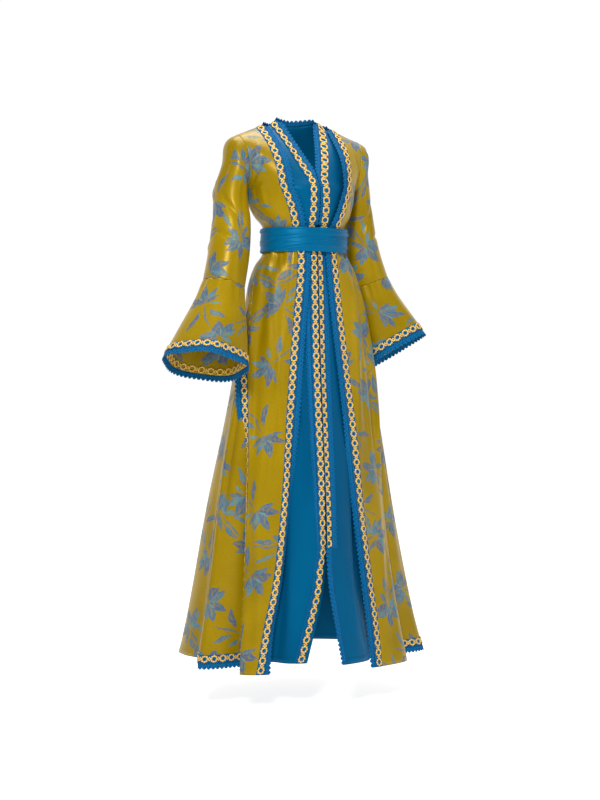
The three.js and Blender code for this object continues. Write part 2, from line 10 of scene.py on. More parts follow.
import bpy
import numpy as np
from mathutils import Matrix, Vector


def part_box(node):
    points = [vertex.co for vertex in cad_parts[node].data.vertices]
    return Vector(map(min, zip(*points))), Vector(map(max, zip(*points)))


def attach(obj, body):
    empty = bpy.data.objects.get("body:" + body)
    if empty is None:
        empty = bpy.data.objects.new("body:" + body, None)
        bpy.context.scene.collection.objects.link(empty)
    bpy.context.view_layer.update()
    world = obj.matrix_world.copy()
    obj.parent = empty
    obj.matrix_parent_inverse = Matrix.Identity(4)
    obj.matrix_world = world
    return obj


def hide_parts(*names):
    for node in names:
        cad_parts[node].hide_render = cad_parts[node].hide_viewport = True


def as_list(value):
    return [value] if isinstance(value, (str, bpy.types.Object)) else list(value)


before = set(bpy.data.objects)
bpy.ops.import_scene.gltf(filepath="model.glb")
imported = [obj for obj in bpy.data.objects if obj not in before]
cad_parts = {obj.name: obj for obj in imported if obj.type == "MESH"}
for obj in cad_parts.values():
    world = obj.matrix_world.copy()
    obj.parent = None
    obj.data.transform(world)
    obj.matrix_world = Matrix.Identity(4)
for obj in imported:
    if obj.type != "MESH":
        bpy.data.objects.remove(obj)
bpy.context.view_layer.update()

MM = 0.001
RIGHT, LEFT = -1, 1
FRONT_HEM, BACK_HEM, DRESS_HEM, ARMPIT, SLIT_TOP = 25, 52, 48, 1313, 1110
HOLD = FRONT_HEM - 1000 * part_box("robe_front_right")[0][2]  # the mount's height in the tables, mm
HEELS = 78  # the soles' height above the floor, mm
CLOTH = 1.3 * MM
BRAID_WIDTH, LACE_WIDTH = 20 * MM, 18 * MM
RING_PITCH = 26 * MM
SCALLOP_PITCH = 12 * MM
DRESS_SLIT_TOP = 350
COVERED = 8 * MM  # of the dress's left braid, under the right one below the sash
COVERED_FROM = 1180  # the height where that starts
SLIT_TRIM_TOP = 1070
NECKLINE_LOW = 1205  # above this the dress's fronts part
SASH_LOW, SASH_HEIGHT = 1141, 64
SASH_HALF_WIDTH, SASH_FRONT, SASH_BACK = 119.5, 97, 99
TORSO_DEPTH = 46 * MM  # the line between the armpits lies this far behind the origin
FLOOR_Z = -(HOLD + HEELS) * MM

# ---- Camera ----

CAMERA_TURN, CAMERA_RISE = -26.0, 2.1  # degrees
CAMERA_DISTANCE, CAMERA_AIM = 4.4, 0.82  # metres; the aim is above the floor
LENS, SENSOR, CAMERA_SHIFT = 72.6, 36, -0.005

camera = bpy.data.objects.new("camera", bpy.data.cameras.new("camera"))
bpy.context.scene.collection.objects.link(camera)
a, e = math.radians(CAMERA_TURN), math.radians(CAMERA_RISE)
away = Vector((math.sin(a) * math.cos(e), -math.cos(a) * math.cos(e), math.sin(e)))
target = Vector((0, 0, FLOOR_Z + CAMERA_AIM))
camera.location = target + away * CAMERA_DISTANCE
camera.rotation_euler = (-away).to_track_quat("-Z", "Y").to_euler()
camera.data.lens, camera.data.sensor_width = LENS, SENSOR
camera.data.shift_x = CAMERA_SHIFT
bpy.context.scene.camera = camera
bpy.context.scene.view_settings.view_transform = "Standard"

# ---- Tables ----


def table(columns, *rows):
    names = columns.split()
    return [dict(zip(names, row)) for row in rows]


ROBE = table(
    "z halfRight halfLeft frontRight frontLeft back sideY edgeRight edgeLeft slit godet",
    (25, 330, 372, 142, 172, 322, 0, 176, 138, 47, 98),
    (140, 310, 342, 134, 154, 296, 0, 156, 136, 49, 97),
    (260, 290, 316, 128, 136, 268, 0, 130, 128, 51, 96),
    (480, 256, 270, 122, 122, 226, 0, 103, 103, 56, 94),
    (745, 206, 224, 108, 108, 176, 0, 76, 76, 67, 92),
    (880, 184, 203, 99, 99, 154, 0, 62, 62, 76, 91),
    (1000, 164, 179, 93, 93, 136, 0, 49, 49, 82, 90),
    (1070, 151, 156, 92, 92, 124, 0, 42, 42, 86, 90),
    (1110, 135, 138, 90, 90, 110, 0, 39, 39, 88.5, 90),
    (1135, 117, 118, 88.5, 88.5, 96, 0, 38, 38, 90, 90),
    (1176, 113, 113, 88.5, 88.5, 92, 0, 44, 44, 90, 90),
    (1214, 116, 116, 93, 93, 95, 6, 53, 53, 90, 90),
    (1235, 133, 133, 101, 101, 103, 16, 60, 60, 90, 90),
    (1265, 146, 146, 107, 107, 111, 30, 70, 70, 90, 90),
    (1313, 158, 158, 108, 108, 119, 46, 88, 88, 90, 90),
)
DRESS = table(
    "z halfRight halfLeft frontRight frontLeft back sideY edgeRight edgeLeft",
    (48, 205, 225, 139, 197, 205, 0, 56, 19),
    (140, 192, 208, 137, 178, 190, 0, 32, 10),
    (260, 180, 192, 134, 150, 176, 0, 5, 2),
    (480, 158, 166, 129, 131, 152, 0, 1, 1),
    (745, 136, 140, 107, 107, 126, 0, 1, 1),
    (880, 126, 128, 96, 96, 114, 0, 1, 1),
    (1000, 118, 120, 90, 90, 105, 0, 1, 1),
    (1070, 114, 114, 87, 87, 98, 0, 1, 1),
    (1110, 110, 110, 84, 84, 93, 0, 1, 1),
    (1135, 107, 107, 82, 82, 88, 0, 1, 1),
    (1176, 104, 104, 82, 82, 85, 0, 4, 4),
    (1214, 107, 107, 86, 86, 88, 6, 8, 8),
    (1235, 117, 117, 93, 93, 92, 16, 8, 8),
    (1265, 130, 130, 98, 98, 100, 29, 8, 8),
    (1313, 142, 142, 98, 98, 108, 44, 8, 8),
)
FOLD_COLUMNS = "side angle spread depth top"
ROBE_FOLDS = table(
    FOLD_COLUMNS,
    (RIGHT, 60, 11, -58, 1010),
    (RIGHT, 78, 9, 10, 900),
    (RIGHT, 97, 7, -30, 850),
    (RIGHT, 118, 9, 22, 1000),
    (RIGHT, 138, 9, -26, 950),
    (RIGHT, 158, 9, 18, 1050),
    (LEFT, 56, 9, -34, 1010),
    (LEFT, 74, 9, 12, 900),
    (LEFT, 98, 8, -26, 900),
    (LEFT, 120, 9, 20, 1050),
    (LEFT, 142, 9, -24, 900),
    (LEFT, 162, 8, 14, 1000),
    (RIGHT, 180, 8, -16, 950),
    (LEFT, 180, 8, -16, 950),
)
DRESS_FOLDS = table(
    FOLD_COLUMNS,
    (RIGHT, 45, 11, -22, 700),
    (RIGHT, 62, 14, -14, 800),
    (RIGHT, 120, 16, 12, 900),
    (LEFT, 42, 10, -18, 700),
    (LEFT, 66, 14, -14, 800),
    (LEFT, 120, 16, 12, 900),
)
SLEEVE_COLUMNS = "x y z across depth rise drop"
ARMHOLE = (168, 46, 1384, 73, 57, 82, 0)
SLEEVES = {
    RIGHT: table(
        SLEEVE_COLUMNS,
        ARMHOLE,
        (184, 44, 1374, 69, 57, 72, 0),
        (190, 38, 1346, 50, 56, 56, 0),
        (203, 28, 1300, 46, 56, 28, 0),
        (210, 10, 1230, 50, 56, 13, 3),
        (225, -8, 1140, 54, 57, 13, 6),
        (246, -20, 1050, 56, 60, 15, 9),
    ),
    LEFT: table(
        SLEEVE_COLUMNS,
        ARMHOLE,
        (184, 46, 1374, 69, 57, 72, 0),
        (186, 52, 1346, 43, 56, 56, 0),
        (191, 60, 1300, 38, 54, 28, 0),
        (196, 64, 1230, 45, 54, 13, 2),
        (208, 62, 1140, 52, 56, 14, 5),
        (228, 58, 1062, 56, 60, 18, 9),
    ),
}
FLOUNCES = {
    RIGHT: table(
        SLEEVE_COLUMNS,
        (246, -20, 1050, 56, 60, 15, 9),
        (262, -28, 990, 70, 76, 15, 11),
        (286, -38, 915, 91, 98, 14, 13),
        (303, -46, 868, 103, 111, 13.5, 14),
        (309, -48, 850, 108, 117, 13.5, 15),
    ),
    LEFT: table(
        SLEEVE_COLUMNS,
        (228, 58, 1062, 56, 60, 18, 9),
        (246, 58, 1010, 68, 74, 20, 13),
        (275, 59, 941, 86, 94, 23, 17),
        (294, 60, 898, 97, 106, 25, 20),
        (301, 60, 880, 101, 111, 25, 20),
    ),
}
ROBE_TOP = {"neck": (102, 47, 1487), "backNeck": (0, 104, 1478), "vBottom": 0, "chest": 32}
ROBE_TOP["armhole"] = table(SLEEVE_COLUMNS, ARMHOLE)[0]
DRESS_TOP = {"neck": (64, 47, 1502), "backNeck": (0, 92, 1492), "vBottom": 0.13, "chest": 6}
DRESS_TOP["armhole"] = table(SLEEVE_COLUMNS, (142, 44, 1378, 65, 52, 90, 0))[0]
NECK_SHARE = 0.6

# Creases of one piece: from (u, v) to (u, v) in shares of the panel, half width and depth in mm; a
# positive depth stands out.
CREASES = "u0 v0 u1 v1 width depth"
CREASE_TABLES = {
    "robe_front_right": table(
        CREASES,
        (0.55, 0.75, 0.46, 0.02, 12, -9),
        (0.80, 0.76, 0.70, 0.02, 12, 8),
        (0.32, 0.72, 0.34, 0.02, 13, 7),
        (0.68, 0.70, 0.60, 0.30, 7, -4),
        (0.42, 0.75, 0.38, 0.40, 6, 3.5),
        (0.90, 0.755, 0.72, 0.66, 5, -4.2),
        (0.80, 0.762, 0.60, 0.67, 4, 3.4),
        (0.70, 0.762, 0.52, 0.69, 3.5, -3.2),
        (0.60, 0.765, 0.46, 0.70, 4, -3.4),
        (0.45, 0.765, 0.40, 0.72, 3, 2.4),
        (0.72, 0.80, 0.60, 0.86, 5, -2.5),
        (0.55, 0.80, 0.50, 0.85, 4, 2.0),
        (0.85, 0.81, 0.80, 0.88, 5, -2.5),
        (0.95, 0.86, 0.55, 0.92, 6, -3),
        (0.92, 0.90, 0.50, 0.95, 6, 2.5),
    ),
    "robe_front_left": table(
        CREASES,
        (0.50, 0.75, 0.44, 0.02, 13, -9),
        (0.76, 0.76, 0.70, 0.02, 12, 8),
        (0.28, 0.72, 0.28, 0.02, 13, 6),
        (0.64, 0.70, 0.58, 0.34, 7, -4),
        (0.85, 0.755, 0.70, 0.66, 5, -4.0),
        (0.74, 0.762, 0.58, 0.68, 3.5, 3.0),
        (0.62, 0.762, 0.50, 0.69, 4, -3.0),
        (0.70, 0.80, 0.62, 0.87, 5, -2.5),
        (0.50, 0.80, 0.46, 0.85, 4, 2.0),
        (0.95, 0.86, 0.55, 0.93, 6, -3),
    ),
    "robe_godet": table(
        CREASES,
        (0.30, 0.95, 0.22, 0.0, 11, -8),
        (0.52, 0.90, 0.55, 0.0, 14, 9),
        (0.76, 0.85, 0.80, 0.0, 12, -7),
    ),
    "robe_back": table(
        CREASES,
        (0.16, 0.66, 0.13, 0.0, 16, -6),
        (0.27, 0.70, 0.26, 0.0, 18, 6),
        (0.38, 0.68, 0.38, 0.0, 16, -7),
        (0.50, 0.70, 0.50, 0.0, 20, 6),
        (0.62, 0.69, 0.63, 0.0, 16, -7),
        (0.73, 0.70, 0.75, 0.0, 18, 6),
        (0.84, 0.66, 0.87, 0.0, 16, -6),
    ),
    "sleeve": table(
        CREASES,
        (0.20, 0.30, 0.45, 0.55, 7, -4.5),
        (0.30, 0.22, 0.48, 0.42, 6, 3.9),
        (0.58, 0.35, 0.80, 0.60, 7, -4.5),
        (0.52, 0.62, 0.75, 0.72, 6, -3.9),
        (0.25, 0.66, 0.46, 0.76, 6, 3.6),
        (0.12, 0.10, 0.18, 0.90, 12, 4.5),
        (0.80, 0.15, 0.86, 0.95, 12, -4.5),
        (0.62, 0.05, 0.55, 0.35, 7, -4.5),
        (0.38, 0.03, 0.43, 0.28, 7, -4.5),
    ),
    "dress_front_right": table(
        CREASES,
        (0.34, 0.76, 0.40, 0.02, 9, -13),
        (0.60, 0.66, 0.66, 0.02, 14, 8),
        (0.24, 0.66, 0.27, 0.02, 7, 5),
    ),
    "dress_front_left": table(
        CREASES,
        (0.30, 0.76, 0.27, 0.02, 8, -9),
        (0.44, 0.70, 0.44, 0.02, 9, 5),
        (0.58, 0.66, 0.60, 0.02, 12, -7),
    ),
}

# ---- Curves ----

mix = lambda a, b, t: a + (b - a) * t
smooth = lambda x: np.clip(x, 0, 1) ** 2 * (3 - 2 * np.clip(x, 0, 1))


def at(rows, z, name):
    """A column of a table at heights z, on a cubic through its rows."""
    zs = np.array([r["z"] for r in rows], float)
    values = np.array([r[name] for r in rows], float)
    order = np.argsort(zs)
    zs, values = zs[order], values[order]
    slopes = np.diff(values) / np.diff(zs)
    tangents = np.concatenate([slopes[:1], (slopes[1:] + slopes[:-1]) / 2, slopes[-1:]])
    z = np.clip(z, zs[0], zs[-1])
    i = np.clip(np.searchsorted(zs, z, side="right") - 1, 0, len(zs) - 2)
    span = zs[i + 1] - zs[i]
    t = (z - zs[i]) / span
    return (
        values[i] * (1 + 2 * t) * (1 - t) ** 2
        + values[i + 1] * (3 - 2 * t) * t**2
        + span * (tangents[i] * t * (1 - t) ** 2 - tangents[i + 1] * t**2 * (1 - t))
    )


def ring_point(rows, folds, side, degrees, z):
    """Points of a garment's ring, in mm: 0 degrees is the centre front, 180 the centre back."""
    word = "Right" if side == RIGHT else "Left"
    half, middle = at(rows, z, "half" + word), at(rows, z, "sideY")
    front, back = at(rows, z, "front" + word) + middle, at(rows, z, "back") - middle
    depth = np.where(degrees < 90, front, back)
    out = np.zeros(np.broadcast(degrees, z).shape)
    for f in folds:
        if f["side"] == side:
            growth = np.clip((f["top"] - z) / (f["top"] - FRONT_HEM), 0, None) ** 1.4
            out = out + f["depth"] * growth * np.exp(-(((degrees - f["angle"]) / f["spread"]) ** 2))
    s, c = np.sin(np.radians(degrees)), np.cos(np.radians(degrees))
    return np.stack(np.broadcast_arrays(side * (half + out) * s, middle - (depth + out) * c, z), -1)


def sleeve_point(section, side, turn, wave=0.0):
    """Points of a sleeve's section, in mm. Turn 0 is the outer side, 90 the front."""
    c, s = np.cos(np.radians(turn)), np.sin(np.radians(turn))
    across, depth = (section["across"] + wave) * c, -(section["depth"] + wave) * s
    rise, drop = np.radians(section["rise"]), np.radians(section["drop"])
    return np.stack(
        np.broadcast_arrays(
            side * (section["x"] + across * np.cos(rise)),
            section["y"] + depth * np.cos(drop),
            section["z"] + across * np.sin(rise) - depth * np.sin(drop),
        ),
        -1,
    )


def patch(bottom, top, start, end):
    """A patch between four edge curves; bottom and top run along a row, start and end up the rows."""
    s = np.linspace(0, 1, len(bottom))[None, :, None]
    w = np.linspace(0, 1, len(start))[:, None, None]
    corners = (1 - w) * ((1 - s) * bottom[0] + s * bottom[-1]) + w * ((1 - s) * top[0] + s * top[-1])
    return (
        (1 - s) * start[:, None] + s * end[:, None] + (1 - w) * bottom[None] + w * top[None] - corners
    )


def evened(rows, columns):
    """Each row at even steps along its own length."""
    run = np.concatenate(
        [np.zeros((len(rows), 1)), np.cumsum(np.linalg.norm(np.diff(rows, axis=1), axis=2), 1)], 1
    )
    wanted = np.linspace(0, 1, columns)
    out = np.empty((len(rows), columns, 3))
    for r in range(len(rows)):
        for k in range(3):
            out[r, :, k] = np.interp(wanted * run[r, -1], run[r], rows[r, :, k])
    return out


def to_row(points):
    """From the tables' millimetres above the soles to the part's own frame."""
    return (points - np.array([0, 0, HOLD])) * MM


class Cloth:
    """A grid of points with outward normals and cloth coordinates."""

    def __init__(self, points, outward, closed=False, middle=False):
        self.points, self.closed, self.outward = points, closed, outward
        self.measure(middle)

    def measure(self, middle=False):
        p = self.points
        ends = np.concatenate([p, p[:, :1]], 1) if self.closed else p
        step = np.linalg.norm(np.diff(ends, axis=1), axis=2)
        run = np.concatenate([np.zeros((len(p), 1)), np.cumsum(step, 1)], 1)
        self.width = run[:, -1]
        self.u = run[:, : p.shape[1]]
        if self.closed or middle:
            self.u = self.u - self.width[:, None] / 2
        rise = np.linalg.norm(np.diff(p, axis=0), axis=2).mean(1)
        self.v = np.repeat(np.concatenate([[0], np.cumsum(rise)])[:, None], p.shape[1], 1)
        self.area = float((step[:, : p.shape[1]].sum(1)[:-1] * rise).sum())

    @property
    def normals(self):
        p = self.points
        up = np.gradient(p, axis=0)
        if self.closed:
            along = np.roll(p, -1, 1) - np.roll(p, 1, 1)
        else:
            along = np.gradient(p, axis=1)
        n = np.cross(along, up)
        n /= np.linalg.norm(n, axis=2, keepdims=True) + 1e-12
        out = (n * (p - self.outward(p))).sum(2).mean()
        return n if out > 0 else -n

    def shares(self):
        rows, columns = self.points.shape[:2]
        return np.meshgrid(np.linspace(0, 1, columns), np.linspace(0, 1, rows))

    def crease(self, rows):
        """Soft troughs and ridges along straight lines in the panel, of uneven depth."""
        s, w = self.shares()
        x, y = s * self.width.mean(), w * self.v[-1, 0]
        out = np.zeros(s.shape)
        for k, c in enumerate(rows):
            a = np.array([c["u0"] * self.width.mean(), c["v0"] * self.v[-1, 0]])
            b = np.array([c["u1"] * self.width.mean(), c["v1"] * self.v[-1, 0]])
            d = b - a
            t = ((x - a[0]) * d[0] + (y - a[1]) * d[1]) / (d @ d)
            bow = 0.04 * np.linalg.norm(d) * np.sin(3.1 * t + k)
            off = ((x - a[0]) * -d[1] + (y - a[1]) * d[0]) / np.linalg.norm(d) - bow
            width = c["width"] * MM * mix(1.0, 1.7, np.clip(t, 0, 1))
            ends = smooth(t / 0.25 + 0.3) * smooth((1 - t) / 0.35 + 0.3)
            out += c["depth"] * MM * ends * np.exp(-((off / width) ** 2))
        self.push(out)

    def push(self, amount):
        """Move the surface out, less and less towards its seams."""
        s, w = self.shares()
        calm = smooth(np.minimum(w, 1 - w) / 0.02 + 0.1)
        if not self.closed:
            calm = calm * smooth(np.minimum(s, 1 - s) / 0.06 + 0.1)
        self.points = self.points + self.normals * (amount * calm)[..., None]

    def ripple(self, amount, across, along, seed):
        """Low uneven undulation, as cloth that hangs has."""
        x, y = self.u, self.v
        r = np.random.default_rng(seed)
        out = np.zeros(x.shape)
        for k in range(7):
            a, b = r.normal(0, across), r.normal(0, along)
            out += np.sin(a * x + b * y + r.uniform(0, 6.28)) * r.uniform(0.4, 1.0) / 3
        self.push(amount * out)


AXIS = lambda p: np.stack([p[..., 0] * 0, p[..., 1] * 0, p[..., 2]], -1)


def torso(p):
    """The point inside the body that a panel's surface faces away from."""
    high = p[..., 2] > (ARMPIT - HOLD) * MM
    inside = AXIS(p)
    inside[..., 0] = np.where(high, p[..., 0] / 2, 0)
    inside[..., 1] = np.where(high, TORSO_DEPTH, 0)
    inside[..., 2] = np.where(high, (ARMPIT - HOLD) * MM, p[..., 2])
    return inside


# ---- Panels ----


def heights(hem, step=10.0):
    return np.linspace(hem, ARMPIT, int((ARMPIT - hem) / step))


def edge_angle(rows, side, z):
    word = "Right" if side == RIGHT else "Left"
    return np.degrees(np.arcsin(at(rows, z, "edge" + word) / at(rows, z, "half" + word)))


def armhole(top, side, w, to_front):
    return sleeve_point(top["armhole"], side, to_front * 180 * (1 - w))


def neck_point(top, side):
    return np.array(top["neck"], float) * np.array([side, 1, 1])


def front_panel(rows, folds, top, side, hem, side_angle, columns, high_rows=26):
    z = heights(hem)[:, None]
    s = np.linspace(0, 1, 2 * columns)[None, :]
    low = ring_point(rows, folds, side, mix(edge_angle(rows, side, z), side_angle(z), s), z)
    w = np.linspace(0, 1, high_rows)
    neck, corner = neck_point(top, side), low[-1, 0]
    start = corner + (neck - corner) * w[:, None]
    spread = np.clip((w - top["vBottom"]) / (1 - top["vBottom"]), 0, 1) ** 0.85
    start[:, 0] = mix(corner[0], neck[0], spread)
    start[:, 1] -= top["chest"] * np.sin(np.pi * w)
    seam = mix(neck, armhole(top, side, 1.0, 1), s[0][:, None])
    high = patch(low[-1], seam, start, armhole(top, side, w, 1))
    return Cloth(to_row(evened(np.concatenate([low, high[1:]]), columns)), torso)


def back_panel(rows, folds, top, hem, side_angle, columns, high_rows=26):
    halves = []
    z = heights(hem)[:, None]
    w = np.linspace(0, 1, high_rows)
    for side in (RIGHT, LEFT):
        s = np.linspace(0, 1, columns)[None, :]
        low = ring_point(rows, folds, side, mix(180, side_angle(z), s), z)
        neck, centre = neck_point(top, side), np.array(top["backNeck"], float)
        share = np.clip(s[0] / NECK_SHARE, 0, 1)
        turn = share * np.pi / 2
        neckline = np.stack(
            [neck[0] * np.sin(turn), mix(neck[1], centre[1], np.cos(turn)), mix(centre[2], neck[2], share)],
            -1,
        )
        beyond = np.clip((s[0] - NECK_SHARE) / (1 - NECK_SHARE), 0, 1)[:, None]
        seam = np.where(s[0][:, None] < NECK_SHARE, neckline, mix(neck, armhole(top, side, 1.0, -1), beyond))
        start = low[-1, 0] + (centre - low[-1, 0]) * w[:, None]
        high = patch(low[-1], seam, start, armhole(top, side, w, -1))
        halves.append(np.concatenate([low, high[1:]]))
    whole = np.concatenate([halves[0][:, :0:-1], halves[1]], 1)
    return Cloth(to_row(whole), torso, middle=True)


def godet_panel(side, columns=56):
    z = np.linspace(BACK_HEM, SLIT_TOP, 130)[:, None]
    s = np.linspace(0, 1, columns)[None, :]
    lap = 1.5  # degrees that it reaches in behind the back panel
    p = ring_point(ROBE, ROBE_FOLDS, side, mix(at(ROBE, z, "slit"), at(ROBE, z, "godet") + lap, s), z)
    tuck = mix(34, 3, np.clip((z - BACK_HEM) / (SLIT_TOP - BACK_HEM), 0, 1) ** 1.5) * (1 - s)
    tuck = tuck + 1.7 * smooth((s - 0.9) / 0.08)
    flat = p * np.array([1, 1, 0])
    p = p - flat / np.linalg.norm(flat, axis=2, keepdims=True) * tuck[..., None]
    return Cloth(to_row(p), AXIS)


def tube(sections, side, turns, rows, wave=lambda turn, share: 0.0):
    """A sleeve or flounce through its sections. Columns start at the inner side, under the arm."""
    names = SLEEVE_COLUMNS.split()
    values = np.array([[s[n] for n in names] for s in sections], float)
    steps = np.linalg.norm(np.diff(values[:, :3], axis=0), axis=1) + 10
    place = np.concatenate([[0], np.cumsum(steps)])
    keyed = [dict(zip(names + ["key"], [*v, k])) for v, k in zip(values, place)]
    keys = np.linspace(0, place[-1], rows)
    turn = 180 + np.arange(turns) * 360 / turns
    out = []
    for k in keys:
        section = {n: hermite(place, values[:, i], k) for i, n in enumerate(names)}
        out.append(sleeve_point(section, side, turn, wave(turn, k / place[-1])))
    points = to_row(np.array(out))
    centre = points.mean(1, keepdims=True)
    return Cloth(points, lambda p, c=centre: np.broadcast_to(c, p.shape), closed=True)


def hermite(places, values, x):
    return at([{"z": p, "v": v} for p, v in zip(places, values)], np.array(x), "v")


# ---- Bands that follow an edge ----


class Band:
    """A strip along an edge of a panel, from one distance in from it to another, in metres."""

    def __init__(self, cloth, edge, distances, lift=0.0, keep=None, closed=False, turn=None):
        p, n = cloth.points, cloth.normals
        if edge in ("bottom", "top"):
            p, n = p.transpose(1, 0, 2), n.transpose(1, 0, 2)
        if edge in ("end", "top"):
            p, n = p[:, ::-1], n[:, ::-1]
        if keep is not None:
            chosen = keep(p[:, 0])
            p, n = p[chosen], n[chosen].copy()
        if closed:
            p, n = np.concatenate([p, p[:1]]), np.concatenate([n, n[:1]])
        reach = min(p.shape[1], 60)
        step = np.linalg.norm(np.diff(p[:, :reach], axis=1), axis=2)
        run = np.concatenate([np.zeros((len(p), 1)), np.cumsum(step, 1)], 1)
        outwards = p[:, 0] - p[:, 2]
        outwards /= np.linalg.norm(outwards, axis=1, keepdims=True)
        distances = np.broadcast_to(distances, (len(p), np.shape(distances)[-1]))
        self.grid = np.empty((*distances.shape, 3))
        for i, d in enumerate(distances):
            for k in range(3):
                self.grid[i, :, k] = np.interp(d, run[i], p[i, :reach, k])
            if turn is not None:  # what lies beyond the edge turns back by this angle
                a = turn(p[i, 0])
                outwards[i], n[i, 0] = (
                    outwards[i] * math.cos(a) - n[i, 0] * math.sin(a),
                    n[i, 0] * math.cos(a) + outwards[i] * math.sin(a),
                )
            self.grid[i] += outwards[i] * np.clip(-d, 0, None)[:, None]
        self.normal = np.repeat(n[:, :1], self.grid.shape[1], 1)
        self.grid += self.normal * lift
        self.across = float(np.abs(distances[:, -1] - distances[:, 0]).mean())
        middle = self.grid[:, self.grid.shape[1] // 2]
        self.run = np.concatenate([[0], np.cumsum(np.linalg.norm(np.diff(middle, axis=0), axis=1))])
        self.length = self.run[-1]

    def narrow_ends(self, both=True, reach=24 * MM, least=0.1):
        """Draw the band in towards its first side at its last end, or at both."""
        to_end = self.length - self.run
        room = smooth((np.minimum(self.run, to_end) if both else to_end) / reach) * (1 - least) + least
        first = self.grid[:, :1]
        self.grid = first + (self.grid - first) * room[:, None, None]

    def place(self, x, y, h):
        """Points at x across (0 to 1), y along in metres, h above, on the band."""
        row = np.interp(y, self.run, np.arange(len(self.run)))
        i = np.clip(row.astype(int), 0, len(self.run) - 2)
        t = (row - i)[..., None]
        columns = self.grid.shape[1] - 1
        c = np.clip(x, 0, 1) * columns
        j = np.clip(c.astype(int), 0, columns - 1)
        f = (c - j)[..., None]
        g, n = self.grid, self.normal
        low = g[i, j] * (1 - f) + g[i, j + 1] * f
        high = g[i + 1, j] * (1 - f) + g[i + 1, j + 1] * f
        normal = n[i, 0] * (1 - t) + n[i + 1, 0] * t
        return low * (1 - t) + high * t + normal * np.asarray(h)[..., None]


# ---- Meshes ----


def make_mesh(name, vertices, faces, uv, material):
    mesh = bpy.data.meshes.new(name)
    mesh.from_pydata(vertices.tolist(), [], faces.tolist() if hasattr(faces, "tolist") else faces)
    layer = mesh.uv_layers.new(name="cloth")
    loops = np.empty(len(mesh.loops), dtype=np.int32)
    mesh.loops.foreach_get("vertex_index", loops)
    layer.data.foreach_set("uv", uv[loops].astype(np.float32).ravel())
    mesh.polygons.foreach_set("use_smooth", np.ones(len(mesh.polygons), dtype=bool))
    mesh.materials.append(material)
    mesh.update()
    o = bpy.data.objects.new(name, mesh)
    bpy.context.scene.collection.objects.link(o)
    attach(o, "root")
    return o


def grid_faces(rows, columns, closed):
    r, c = np.meshgrid(np.arange(rows - 1), np.arange(columns if closed else columns - 1), indexing="ij")
    a, b = r * columns + c, r * columns + (c + 1) % columns
    return np.stack([a, b, b + columns, a + columns], -1).reshape(-1, 4)


def shell(o, thickness):
    solid = o.modifiers.new("cloth", "SOLIDIFY")
    solid.thickness, solid.offset = thickness, 0
    return o


def cloth_object(name, cloth, material, shift=(0.0, 0.0)):
    rows, columns = cloth.points.shape[:2]
    uv = np.stack([cloth.u + shift[0], cloth.v + shift[1]], -1).reshape(-1, 2)
    faces = grid_faces(rows, columns, cloth.closed)
    return shell(make_mesh(name, cloth.points.reshape(-1, 3), faces, uv, material), CLOTH)


def scallop_lace(name, band, material, depth=5.5 * MM, thickness=1.1 * MM):
    """A lace strip, its first side sewn, its last side cut in scallops with small picots."""
    count = max(8, int(round(band.length / SCALLOP_PITCH)))
    pitch = band.length / count
    steps = count * 8
    y = np.linspace(0, band.length, steps + 1)
    x = np.array([0, 0.12, 0.3, 0.5, 0.7, 0.85, 1.0])
    phase = y / pitch * np.pi
    dip = 1 - depth / band.across * (1 - np.abs(np.sin(phase)) ** 0.8)
    reach = np.where(x[None, :] > 0.5, 0.5 + (x[None, :] - 0.5) * (dip[:, None] - 0.5) / 0.5, x[None, :])
    bead = 0.35 * MM * np.cos(2 * np.pi * x[None, :] * 2) * np.abs(np.sin(phase))[:, None]
    points = band.place(reach, np.repeat(y[:, None], len(x), 1), bead)
    uv = np.stack([reach * band.across, np.repeat(y[:, None], len(x), 1)], -1).reshape(-1, 2)
    o = make_mesh(name, points.reshape(-1, 3), grid_faces(len(y), len(x), False), uv, material)
    return shell(o, thickness)


def tube_loop(centre, radius_x, radius_y, half_width, height, steps, lumps=0, lump=0.0):
    """A closed thread loop as (x, y, h) rows of a five-sided section."""
    t = np.arange(steps) * 2 * np.pi / steps
    section = np.array([[-1, 0], [-0.75, 0.75], [0, 1.0], [0.75, 0.75], [1, 0]])
    rows = []
    for side, up in section:
        swell = half_width * side + (lump * np.cos(lumps * t) if side > 0.5 else 0)
        x = centre[0] + (radius_x + swell) * np.cos(t)
        y = centre[1] + (radius_y + swell) * np.sin(t)
        rows.append(np.stack([x, y, np.full(steps, height * up)], -1))
    points = np.stack(rows, 1).reshape(-1, 3)
    n = len(section)
    faces = []
    for i in range(steps):
        for j in range(n):
            a, b = i * n + j, i * n + (j + 1) % n
            c, d = ((i + 1) % steps) * n + (j + 1) % n, ((i + 1) % steps) * n + j
            faces.append((a, d, c, b))
    return points, np.array(faces)


def ring_cell():
    """One repeat of the braid: a lobed ring, and the small knots that join it to the next."""
    parts = [
        tube_loop((0, 0), 7.4 * MM, 7.9 * MM, 2.3 * MM, 1.5 * MM, 32, 8, 1.2 * MM),
        tube_loop((0, RING_PITCH / 2), 3.7 * MM, 2.5 * MM, 1.7 * MM, 1.3 * MM, 16, 4, 0.6 * MM),
    ]
    vertices, faces, start = [], [], 0
    for points, polygons in parts:
        vertices.append(points)
        faces += [tuple(int(i) + start for i in f) for f in polygons]
        start += len(points)
    return np.concatenate(vertices), faces


